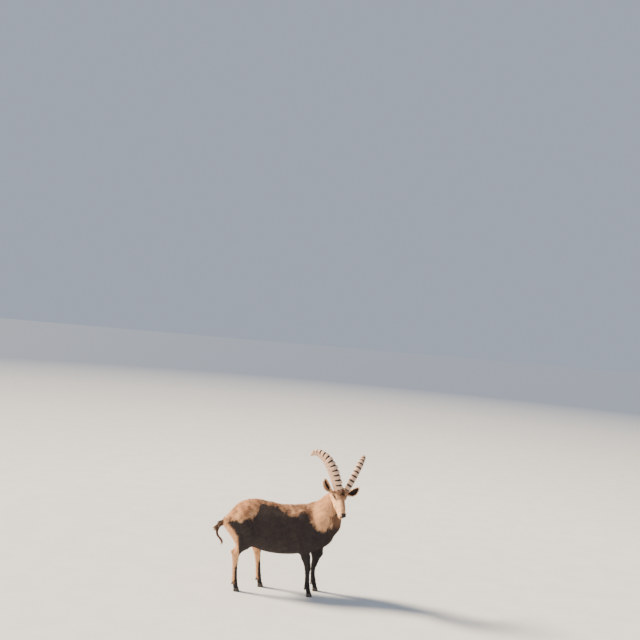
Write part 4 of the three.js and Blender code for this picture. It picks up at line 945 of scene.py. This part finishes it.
skin_points, skin_quads, skin_normals = mesh_field(skin_field, grid(SKIN_GRID, BODY_STEP, HEAD_STEP))
FLESH = ["rump", "belly", "chest", "neck_lower", "neck_upper", "head", "ear_right", "ear_left", "tail"]
FLESH += [f"leg_{name}_{part}" for name in LEGS for part in ("upper", "lower")]
skin = new_object("skin", metres(skin_points), [skin_quads], SKIN)
add_vectors(skin, "marks", markings(skin_points.T).T)
piece(skin, "coat_flank", *FLESH)

# An unwrap of the skin's own shape, made on a coarse copy, places every tuft's patch
rough_points, rough_quads, _ = mesh_field(lambda p: whole_field(p) + 4, grid(ROUGH_GRID, *ROUGH_STEPS))
rough = new_object("rough", rough_points, [rough_quads], SKIN)
bpy.context.view_layer.objects.active = rough
rough.select_set(True)
bpy.ops.object.mode_set(mode="EDIT")
bpy.ops.mesh.select_all(action="SELECT")
bpy.ops.uv.smart_project(angle_limit=math.radians(66), island_margin=0.004)
bpy.ops.object.mode_set(mode="OBJECT")
rough.data.calc_loop_triangles()
rough_uv = np.empty(len(rough.data.loops) * 2)
rough.data.uv_layers.active.data.foreach_get("uv", rough_uv)
rough_uv = rough_uv.reshape(-1, 2)
rough_triangles = np.array([t.vertices for t in rough.data.loop_triangles])
rough_loops = np.array([t.loops for t in rough.data.loop_triangles])
rough_tree = BVHTree.FromPolygons([tuple(v) for v in rough_points], rough_triangles.tolist())
bpy.data.objects.remove(rough)


def unwrap_place(points):
    """The place of each point on the unwrap."""
    found = [rough_tree.find_nearest(p) for p in points]
    face = np.array([f[2] for f in found])
    hit = np.array([tuple(f[0]) for f in found])
    a, b, c = rough_points[rough_triangles[face]].transpose(1, 0, 2)
    v0, v1, v2 = b - a, c - a, hit - a
    d00, d01, d11, d20, d21 = ((r * s).sum(1) for r, s in ((v0, v0), (v0, v1), (v1, v1), (v2, v0), (v2, v1)))
    low = np.maximum(d00 * d11 - d01 * d01, 1e-9)
    v = ((d11 * d20 - d01 * d21) / low)[:, None]
    w = ((d00 * d21 - d01 * d20) / low)[:, None]
    ua, ub, uc = rough_uv[rough_loops[face]].transpose(1, 0, 2)
    return np.clip(ua * (1 - v - w) + ub * v + uc * w, 0.004, 0.996)


# Tufts. Each is a closed tapered prism of three sides along a path of stations, the last its point.
PATCH = 0.003


def tuft_mesh(name, slot, path, side, rise, wide, thick, taper, marks, rng):
    """path, side and rise are tufts x stations x 3; taper holds the share of the width at each station."""
    count, stations = path.shape[:2]
    point = 3 * (stations - 1)
    strand = np.empty((count, point + 1, 3))
    strand[..., 0] = np.append(np.repeat(np.linspace(0, 1, stations)[:-1], 3), 1)
    strand[..., 1] = rng.uniform(0, 1, count)[:, None]
    strand[..., 2] = np.append(np.outer(taper, (-1, 1, 0)), 0)
    taper = np.array(taper)[:, None]
    wide, thick = wide[:, None, None], thick[:, None, None]
    middle = path[:, :-1]
    half = side[:, :-1] * wide * taper / 2
    rings = np.stack([middle - half, middle + half, middle + rise[:, :-1] * thick * taper], axis=2)
    verts = np.concatenate([rings.reshape(count, point, 3), path[:, -1:]], axis=1)
    base = (np.arange(count) * (point + 1))[:, None]
    quads = [base + [k + b, k + a, k + a + 3, k + b + 3]
             for k in range(0, point - 3, 3) for a, b in ((0, 1), (1, 2), (2, 0))]
    k = point - 3
    tris = [base + t for t in ([k + 1, k, point], [k + 2, k + 1, point], [k, k + 2, point], [0, 1, 2])]
    faces = [np.concatenate(quads), np.concatenate(tris)]
    # All faces look out, whichever way side, rise and path turn
    if (np.cross(side[:, 0], rise[:, 0]) * (path[:, 1] - path[:, 0])).sum() > 0:
        faces = [f[:, ::-1] for f in faces]
    obj = new_object(name, metres(verts.reshape(-1, 3)), faces, COAT)
    add_vectors(obj, "marks", np.repeat(marks.T, point + 1, axis=0))
    add_vectors(obj, "strand", strand.reshape(-1, 3))
    on_patch = np.stack([strand[:, :, 2] * PATCH / 2, (strand[:, :, 0] - 0.5) * PATCH], axis=2)
    uv = unwrap_place(path[:, 0])[:, None, :] + on_patch
    corners = np.empty(len(obj.data.loops), np.int32)
    obj.data.loops.foreach_get("vertex_index", corners)
    layer = obj.data.uv_layers.new(name="OFBake")
    layer.data.foreach_set("uv", uv.reshape(-1, 2)[corners].astype(np.float32).reshape(-1))
    piece(obj, slot)


STATIONS = {2: ([0, 0.46, 1], [0.72, 1.0]), 3: ([0, 0.32, 0.68, 1], [0.75, 1.0, 0.62])}


def grow_tufts(name, slot, rings, roots, normals, lies, size, marks, rng):
    """Tufts that leave the skin along their lie. size holds rows long, wide, lift, droop and bend."""
    at, taper = STATIONS[rings]
    side = np.cross(normals, lies)
    roll = rng.normal(0, 0.32, len(roots))[:, None]
    flat = side * np.cos(roll) + normals * np.sin(roll)
    rise = normals * np.cos(roll) - side * np.sin(roll)
    long, wide, lift, droop, bend = (row[:, None] for row in size)
    fall = np.array([0, 0, -1.0]) * droop
    path = []
    for t in at:
        up = lift * (t - 0.42 * t * t) * long - (0.10 * wide + 1.2) * (t == 0)
        path.append(roots + normals * up + (lies * t + (side * bend + fall) * t * t) * long)
    flat, rise = (np.repeat(v[:, None], len(at), axis=1) for v in (flat, rise))
    wide = wide[:, 0]
    tuft_mesh(name, slot, np.stack(path, axis=1), flat, rise, wide, wide * 0.28, taper, marks, rng)


def coat_at(p):
    """Rows long, wide, lift, droop, cover and swirl of the coat at points in rows, and the coat's zones."""
    q = to_head(p)
    m = folded(q)
    x, y, z = p
    zone = zones(p)
    sunlit_fleece, neck = zone["sunlit_fleece"], zone["neck"]
    belly = smooth(60, 10, z - trunk_at(x)[2]) * smooth(100, 40, np.abs(y)) * (x > -340) * (x < 380)
    coat = column(30, 3.6, 0.10, 0, 1.6, 0.14) + 0 * x
    for share, *own in (
            (belly, 40, 4.0, 0.22, 0.12, 1.8, 0.3),
            (smooth(-350, -430, x) * smooth(500, 560, z), 38, 4.0, 0.16, 0.05, 1.8, 0.25),
            (neck, 40, 3.8, 0.12, 0.04, 1.9, 0.2),
            (sunlit_fleece * (1 - neck), 44, 3.8, 0.32, 0.02, 3.2, 0.9),
            (sunlit_fleece * neck, 54, 3.0, 0.17, 0.10, 2.7, 0.42),
            (zone["throat"] * neck, 44, 3.4, 0.16, 0.08, 2.4, 0.3),
            (0.9 * smooth(60, 8, zone["beyond"]) * neck, 28, 2.9, 0.18, 0.04, 2.6, 0.4),
            (zone["low"], 15, 2.8, 0.13, 0, 1.5, 0.12),
            (zone["tail"], 34, 4.0, 0.3, 0.1, 2.6, 0.3)):
        coat = mix(coat, column(*own), share)
    # The face's hair is short, longer at its back and below the jaw
    long = mix(14.0, 7.5, smooth(60, 170, m[0]))
    for length, share in (
            (26.0, smooth(0, -70, m[0] + 0.35 * m[2])), (30.0, smooth(-52, -84, m[2]) * smooth(60, 0, m[0])),
            (13.0, smooth(50, 26, apart(m, EAR_ROOT))), (5.5, smooth(44, 20, apart(m, EYE_PLACE)))):
        long = mix(long, length, share)
    wide = np.interp(long, [5, 14, 30], [1.4, 2.2, 3.2])
    lift = mix(0.12, 0.2, smooth(14, 28, long))
    coat = mix(coat, np.array([long, wide, lift, 0 * x, 2.1 + 0 * x, 0.16 + 0 * x]), zone["head"])
    cup, rim = column(12, 2.3, 0.10, 0, 1.7, 0.12), column(20, 2.5, 0.2, 0, 2.4, 0.2)
    for _, on, _, turn, _ in on_ears(q):
        coat = np.where(on, mix(cup, rim, smooth(0.72, 0.95, turn)), coat)
    return coat, zone


# Pieces of the coat: name, slot and rings of a tuft. Their order is the number of their region.
PIECES = [("face", "coat_face", 2), ("neck", "coat_back", 3), ("sunlit_fleece", "coat_back", 3),
          ("flank", "coat_flank", 2), ("legs", "coat_leg", 2), ("tail", "coat_leg", 3)]
MOST_TRIANGLES = 190000


def coat_regions(p, zone):
    region = np.full(p.shape[1], 3)
    for number, share, least in ((4, "low", 0.5), (2, "sunlit_fleece", 0.4), (1, "neck", 0.5), (5, "tail", 0.5),
                                 (0, "head", 0.5)):
        region[zone[share] > least] = number
    for _, on, *_ in on_ears(to_head(p)):
        region[on] = 0
    return region


rng = np.random.default_rng(41)
corner = skin_points[skin_quads]
centres = corner.mean(1)
area = 0.5 * np.linalg.norm(np.cross(corner[:, 2] - corner[:, 0], corner[:, 3] - corner[:, 1]), axis=1)
coat, _ = coat_at(centres.T)
expected = 1 * coat[4] * area / (coat[0] * coat[1] * 0.5)
# No hair on naked skin, nor under the feet
expected[markings(centres.T)[2] > 0.55] = 0
expected[(centres[:, 2] < 60) & (skin_normals[skin_quads].mean(1)[:, 2] < -0.3)] = 0
number = np.floor(expected + rng.uniform(0, 1, len(expected))).astype(int)
face_of = np.repeat(np.arange(len(expected)), number)
u, v = rng.uniform(0, 1, (2, len(face_of), 1))


def inside_quads(values):
    c = values[skin_quads[face_of]]
    return (c[:, 0] * (1 - u) + c[:, 1] * u) * (1 - v) + (c[:, 3] * (1 - u) + c[:, 2] * u) * v


roots = inside_quads(skin_points)
root_normals = unit(inside_quads(skin_normals))
count = len(roots)
coat, zone = coat_at(roots.T)
lies = lie_of(roots.T, root_normals)
swirl = coat[5] * (0.8 * wave(roots.T, 22, seed=21) + 0.5 * rng.normal(0, 1, count))
lies = unit(lies + np.cross(root_normals, lies) * swirl[:, None])
sizes = np.array([
    coat[0] * rng.uniform(0.72, 1.22, count), coat[1] * rng.uniform(0.7, 1.3, count),
    coat[2] * rng.uniform(0.5, 1.5, count) + 0.03, coat[3], rng.normal(0, 1, count) * (0.06 + 0.35 * coat[5]),
])
root_marks = markings(roots.T)
region = coat_regions(roots.T, zone)
for k, (name, slot, rings) in enumerate(PIECES):
    mine = np.nonzero(region == k)[0]
    mine = mine[np.argsort(roots[mine, 0])]
    parts = max(math.ceil(len(mine) * (6 * (rings - 1) + 4) / MOST_TRIANGLES), 1)
    for i, own in enumerate(np.array_split(mine, parts)):
        grow_tufts(f"coat_{name}_{i + 1}", slot, rings, roots[own], root_normals[own], lies[own],
                   sizes[:, own], root_marks[:, own], rng)


# Long strands that follow a path: the tail's end, its curl and the beard
STRAND_TAPER = [0.7, 1, 1, 0.9, 0.75, 0.5]


def strands(name, slot, lines, marks_near, rng):
    """Each line is (points, count, spread at the root, spread at the tip, width)."""
    paths, widths = [], []
    steps = len(STRAND_TAPER) + 1
    t = np.linspace(0, 1, steps)[:, None]
    for points, count, wide_root, wide_tip, width in lines:
        points = np.asarray(points, float)
        at = np.concatenate([[0], np.cumsum(np.linalg.norm(np.diff(points, axis=0), axis=1))])
        for _ in range(count):
            s = np.linspace(0, at[-1] * rng.uniform(0.8, 1.05), steps)
            middle = np.array([np.interp(s, at, v) for v in points.T]).T
            middle[1:-1] = (middle[:-2] + 2 * middle[1:-1] + middle[2:]) / 4
            off = unit(rng.normal(0, 1, (1, 3))) * rng.uniform(0.2, 1)
            late = unit(off + rng.normal(0, 0.5, (1, 3)))
            paths.append(middle + off * wide_root * (1 - t) + late * wide_tip * t)
            widths.append(width * rng.uniform(0.7, 1.3))
    path, wide = np.array(paths), np.array(widths)
    ahead = unit(np.gradient(path, axis=1))
    side = unit(np.cross(ahead, unit(rng.normal(0, 1, (len(path), 1, 3)) + 0 * ahead)))
    marks = markings(np.repeat(column(*marks_near), len(path), axis=1))
    tuft_mesh(name, slot, path, side, np.cross(side, ahead), wide, wide * 0.4, STRAND_TAPER, marks, rng)


TAIL_TUFTS = np.array([
    ((-590, -10, 634), (-640, -18, 566)), ((-594, 10, 632), (-632, 20, 556)),
    ((-596, 0, 640), (-654, 0, 584)), ((-574, 0, 634), (-604, 4, 552)),
])
CURL = [(-600, -4, 606), (-612, -6, 560), (-596, -8, 520), (-566, -9, 494), (-538, -8, 470),
        (-534, -6, 444), (-560, -4, 424)]
# Roots of the beard's locks ahead and aside on the chin, and their lengths
BEARD = [(176, -8, 52), (176, 8, 56), (160, 0, 64), (146, -7, 46), (144, 8, 42)]
lines = [([a, mix(a, b, 0.5) + [-4, 0, -3], b], 22, 8, 11, 4.0) for a, b in TAIL_TUFTS]
lines += [(CURL, 60, 10, 11, 3.6), (CURL[:5], 30, 9, 14, 3.6)]
strands("coat_tail_end", "coat_leg", lines, (-620, 0, 610), rng)
lines = [(from_head([x, y, -68]) + [(0, 0, 0), (-2, 0, -long / 2), (-6, 0, -long)], 16, 7, 5, 2.8)
         for x, y, long in BEARD]
strands("coat_beard", "coat_face", lines, from_head([160, 0, -96]), rng)

# Horns
HORN_ROOT = np.array([-37, 45, 56])
HORN_AIM = {"right": dict(side=-1, spread=26.6, lean=26.3), "left": dict(side=1, spread=22, lean=31)}
HORN_RISE, HORN_TURN, HORN_BACKLOAD, HORN_TWIST, HORN_SUNK = 137, 138, 1.23, -0.12, 16
HORN_BASE_SHARE, HORN_FULL_AT, HORN_BACK_SWELL = 0.86, 0.34, 0.26
HORN_THINS_FROM, HORN_TIP_LOSS = 0.42, 0.88
HORN_SIDES = 48
RIDGE_HEIGHT, RIDGES_START, RIDGES_END = 11, 40, 528


def horn_curve(aim, stations):
    """Points along the horn's middle, and the ways to its front and side."""
    side = aim["side"]
    rise, spread, lean = (math.radians(v) for v in (HORN_RISE, aim["spread"], aim["lean"]))
    up = np.array([math.cos(rise), 0, math.sin(rise)])
    back = np.array([-math.sin(rise), 0, math.cos(rise)])
    out = np.array([0, side, 0.0])
    start = up * math.cos(spread) + out * math.sin(spread)
    sideways = out * math.cos(spread) - up * math.sin(spread)
    bend = back * math.cos(lean) + sideways * math.sin(lean)
    aside = sideways * math.cos(lean) - back * math.sin(lean)

    def turn(x):
        return (math.radians(HORN_TURN) * ((1 - HORN_BACKLOAD) * x + HORN_BACKLOAD * x * x))[..., None]

    def direction(x):
        return unit(start * np.cos(turn(x)) + bend * np.sin(turn(x)) + aside * HORN_TWIST * x[..., None])

    s = np.linspace(0, HORN_LENGTH, 1201)
    steps = direction((s[:-1] + s[1] / 2) / HORN_LENGTH) * s[1]
    path = np.concatenate([[np.zeros(3)], np.cumsum(steps, axis=0)])
    stations = np.asarray(stations, float)
    p = np.array([np.interp(stations, s, v) for v in path.T]).T
    p = p + direction(np.zeros(1)) * np.minimum(stations, 0)[:, None]
    x = np.maximum(stations, 0) / HORN_LENGTH
    inside = -start * np.sin(turn(x)) + bend * np.cos(turn(x))
    return p + HORN_ROOT * [1, side, 1], -inside, unit(np.cross(direction(x), inside))


def horn_taper(x):
    swell = 1 - (1 - HORN_BASE_SHARE) * (1 - np.clip(x / HORN_FULL_AT, 0, 1)) ** 2
    thinning = np.clip((x - HORN_THINS_FROM) / (1 - HORN_THINS_FROM), 0, 1) ** 1.7
    return np.maximum(swell * (1 - HORN_TIP_LOSS * thinning), 0.05)


def horn_rings(aim, stations, angles):
    """The horn's surface in the head's frame, stations x angles, and how deep each point is in the notch
    between two ridges, whose darker tone is dirt and painted shade.
    """
    p, front, across = (v[:, None] for v in horn_curve(aim, stations))
    s = np.asarray(stations, float)[:, None]
    along = np.maximum(s, 0) / HORN_LENGTH
    size = horn_taper(along)
    x = (s - RIDGES_START) / (RIDGES_END - RIDGES_START)
    ridges = (HORN_RIDGES - 1) * np.where(x < 0, x, np.abs(x) ** 1.12)
    off = np.abs(ridges - np.round(ridges) + 0.03)
    swell = smooth(0.46, 0.26, off) * (s > RIDGES_START - 20) * (s < RIDGES_END + 14)
    tall = 1.25 * RIDGE_HEIGHT * (1 - 0.62 * np.clip(x, 0, 1))
    tall = tall * (1 + 0.20 * np.sin(np.round(ridges) * 2.4 + aim["side"]))
    c, w = np.cos(angles), np.sin(angles)
    face = np.sign(c) * np.abs(c) ** 0.8
    back = np.where(face < 0, 1 + HORN_BACK_SWELL * np.clip(along / HORN_FULL_AT, 0, 1), 1)
    knob = swell * tall * np.clip(c * 1.6, 0, 1) ** 0.8
    uneven = 0.45 * np.sin(s / 2.3 + 2.4 * np.sin(s / 19)) + 0.5 * np.sin(s / 6.1)
    low = uneven * smooth(-10, 20, s) * smooth(596, 500, s)
    deep = face * HORN_DEPTH / 2 * size * back + knob + c * low
    breadth = w * (HORN_WIDTH / 2 * size * (1 + 0.16 * c) + 0.35 * knob + low)
    notch_shade_and_dirt = smooth(0.28, 0.37, off) * smooth(0.02, 0.3, c) * smooth(8, 20, s) * (s < RIDGES_END + 6)
    return p + front * deep[..., None] + across * breadth[..., None], notch_shade_and_dirt


def horn(word, aim):
    stations = np.concatenate([np.arange(-HORN_SUNK, 0, 4), np.arange(0, HORN_LENGTH - 3, 2.0)])
    angles = 2 * math.pi * (np.arange(HORN_SIDES) + 0.5) / HORN_SIDES
    rings, notch_shade_and_dirt = horn_rings(aim, stations, angles)
    s = stations[:, None]
    # Darker in the notches between the ridges, for dirt and painted shade, and darker towards the horn's foot
    tone = 0.78 - 0.76 * notch_shade_and_dirt - 0.5 * smooth(18, -8, s)
    shape = np.stack([s / HORN_LENGTH + 0 * notch_shade_and_dirt, tone, np.abs(angles / math.pi - 1) + 0 * notch_shade_and_dirt], -1)
    verts, faces = loft(rings, *horn_curve(aim, [-HORN_SUNK, HORN_LENGTH])[0], flip=True)
    obj = new_object(f"horn_{word}_fine", metres(from_head(verts)), faces, HORN)
    add_vectors(obj, "shape", np.concatenate([shape.reshape(-1, 3), [[0, 0.4, 0], [1, 0.66, 0]]]))
    piece(obj, "horn", f"horn_{word}")


# Hair that laps over the foot of each horn, and the dark tuft between them
ROUND_HORN, BETWEEN_HORNS = 220, 260


def horn_skirt(rng):
    roots, lies, normals = [], [], []
    for aim in HORN_AIM.values():
        for station in (-15, -12, -8, -3):
            angles = rng.uniform(0, 2 * math.pi, ROUND_HORN)
            low, high = horn_rings(aim, [station, station + 6.0], angles)[0]
            roots.append(low)
            lies.append(unit(high - low))
            normals.append(unit(low - horn_curve(aim, [station])[0]))
    for _ in range(BETWEEN_HORNS):
        x, y = rng.uniform(-56, 2), rng.uniform(-15, 15)
        roots.append([[x, y, 46 - 0.24 * x]])
        lies.append([unit([0.45, 0.3 * rng.normal(), 0.75])])
        normals.append([[0.85, 0, 0.5]])
    roots, lies, normals = (np.concatenate(v) for v in (roots, lies, normals))
    count = len(roots)
    between = np.arange(count) >= count - BETWEEN_HORNS
    size = np.array([
        np.where(between, 34, 15) * rng.uniform(0.7, 1.2, count), np.where(between, 3.0, 2.4),
        np.full(count, 0.10), np.zeros(count), rng.normal(0, 0.15, count),
    ])
    marks = np.array([np.where(between, 0.20, 0.46), np.full(count, 0.7), np.zeros(count)])
    turned = [head_vector(v) for v in (laid_flat(normals, lies), lies)]
    grow_tufts("coat_horn_skirt", "coat_face", 2, from_head(roots), *turned, size, marks, rng)


horn_skirt(rng)


# Eyes
EYE_AROUND, EYE_DOWN = 64, 40


def eye(word, side):
    centre, look, along, rise = eye_frame(side)
    a = np.linspace(0, math.pi, EYE_DOWN + 1)[1:-1, None]
    b = np.arange(EYE_AROUND) * 2 * math.pi / EYE_AROUND
    globe = np.stack([np.sin(a) * np.cos(b), np.sin(a) * np.sin(b), np.cos(a) + 0 * b], -1)
    gaze, faces = loft(globe, (0, 0, 1), (0, 0, -1), flip=np.dot(np.cross(along, rise), look) > 0)
    cornea = 1 + 0.05 * smooth(0.80, 1.0, gaze[:, 2:])
    verts = centre + EYE_RADIUS * cornea * (gaze @ [along, rise, look])
    obj = new_object(f"eye_{word}_fine", metres(from_head(verts)), faces, EYE)
    add_vectors(obj, "gaze", gaze)
    piece(obj, "eye", f"eye_{word}")


# Claws and dewclaws
CLAW_LEVELS, CLAW_SIDES, DEWCLAW_SIDES = 15, 28, 16
# How far along the dewclaw each ring lies, and its radius
DEWCLAW = [(-10, 8.5), (0, 8.5), (6, 8.6), (12, 8.2), (16, 7), (19, 5), (20, 3)]


def claw_rings(leg, inner):
    level = np.linspace(0, 1, CLAW_LEVELS)[:, None]
    a = 2 * math.pi * np.arange(CLAW_SIDES) / CLAW_SIDES
    c = np.cos(a)
    size = np.interp(level, [0, 0.3, 1], [1, 0.97, 0.8]) + 0.006 * np.sin(level * 40)
    x = np.interp(level, [0, 0.3, 1], [2, 0, -5]) + np.where(c > 0, c, c * 0.82) * CLAW_LENGTH / 2 * size
    y = np.sin(a) * CLAW_WIDTH / 2 * np.where(c > 0, 1 - 0.55 * c * c, 1) * mix(1, size, 0.6)
    y = y + inner * (CLAW_WIDTH / 2 + 1.2 - 2.5 * np.maximum(c, 0))
    z = (CORONET_HEIGHT - 0.35 + CORONET_SLOPE * x) * level
    return np.stack([x + leg["hoof"][0], y + leg["hoof"][1], z], -1)


def dewclaw_rings(leg, inner):
    x, y = leg["joints"][FETLOCK][:2]
    root = np.array([x - 15, y / NARROW + inner * 12, 84])
    along = unit([-0.62, inner * 0.2, -0.78])
    across = unit(np.cross(along, [0, 1, 0]))
    a = 2 * math.pi * np.arange(DEWCLAW_SIDES)[:, None] / DEWCLAW_SIDES
    around = across * np.cos(a) + np.cross(along, across) * np.sin(a)
    return np.array([root + along * s + around * r for s, r in DEWCLAW])


def feet(name, leg):
    verts, quads, tris = [], [], []
    start = 0
    for inner in (-1, 1):
        for rings in (claw_rings(leg, inner), dewclaw_rings(leg, inner)):
            v, (q, t) = loft(rings, rings[0].mean(0), rings[-1].mean(0))
            verts.append(v)
            quads.append(q + start)
            tris.append(t + start)
            start += len(v)
    faces = [np.concatenate(quads), np.concatenate(tris)]
    obj = new_object(f"claws_{name}", metres(np.concatenate(verts)), faces, CLAW)
    words = [f"{kind}_{name}_{word}" for kind in ("claw", "dewclaw") for word in ("right", "left")]
    piece(obj, "claw", *words)


for word, aim in HORN_AIM.items():
    horn(word, aim)
    eye(word, aim["side"])
for name, leg in LEGS.items():
    feet(name, leg)

# Floor, light and camera. Far away the floor takes the tone of the air behind it, so that no edge shows.
FLOOR_HALF, FLOOR_DROP = 95, 0.0005
FAR_TONE = (0.106, 0.143, 0.220, 1)
s = Shade("floor")
tone = s.ramp(s.noise(s.place, 3.0, 4.0), (0.35, 0.60, 0.61, 0.61), (0.65, 0.64, 0.65, 0.65))
away = s.math("DIVIDE", s.node("VectorMath", {0: s.place}, operation="LENGTH")["Value"], FLOOR_HALF)
tone = s.mixed(s.ramp(away, (0.06, 0, 0, 0), (0.34, 1, 1, 1)), tone, FAR_TONE)
corners = [(x * FLOOR_HALF, y * FLOOR_HALF, -FLOOR_DROP) for x, y in ((-1, -1), (1, -1), (1, 1), (-1, 1))]
floor = new_object("floor", corners, [np.arange(4)[None]], s.done(Base_Color=tone, Roughness=0.85), False)

world = bpy.data.worlds.new("studio")
bpy.context.scene.world = world
world.use_nodes = True
background = world.node_tree.nodes["Background"]
background.inputs[0].default_value = (0.74, 0.83, 1.0, 1)
background.inputs[1].default_value = 0.55


def lamp(name, kind, place, aim, power, colour, **settings):
    light = bpy.data.lights.new(name, kind)
    light.energy = power
    light.color = colour
    for key, value in settings.items():
        setattr(light, key, value)
    obj = bpy.data.objects.new(name, light)
    obj.location = place
    obj.rotation_euler = (Vector(aim) - Vector(place)).to_track_quat("-Z", "Y").to_euler()
    obj.visible_camera = False
    bpy.context.scene.collection.objects.link(obj)


MIDDLE = Vector((0, 0, 0.7))
SUN_WAY = Vector((-0.77, 0.20, 0.60))
lamp("key", "SUN", MIDDLE + SUN_WAY, MIDDLE, 14.3, (1.0, 0.82, 0.60), angle=math.radians(13))
lamp("fill", "AREA", (1.5, -6.0, 3.0), MIDDLE, 90, (0.82, 0.90, 1.0), shape="DISK", size=4.0)

CAMERA_YAW, CAMERA_PITCH, CAMERA_ROLL = (math.radians(v) for v in (-1.765, -0.2357, 5.0))
CAMERA_BACK, CAMERA_HEIGHT, FOCAL, PICTURE = 8.54844, 2.79055, 826, 640
camera_data = bpy.data.cameras.new("camera")
camera_data.sensor_width = 36
camera_data.lens = FOCAL / PICTURE * camera_data.sensor_width
camera_data.clip_end = 200
camera = bpy.data.objects.new("camera", camera_data)
placed = Matrix.Translation((SHIFT[0], SHIFT[1] - CAMERA_BACK, CAMERA_HEIGHT))
for angle, way in ((CAMERA_YAW, "Z"), (math.pi / 2 - CAMERA_PITCH, "X"), (CAMERA_ROLL, "Z")):
    placed = placed @ Matrix.Rotation(angle, 4, way)
camera.matrix_world = placed
bpy.context.scene.collection.objects.link(camera)
bpy.context.scene.camera = camera
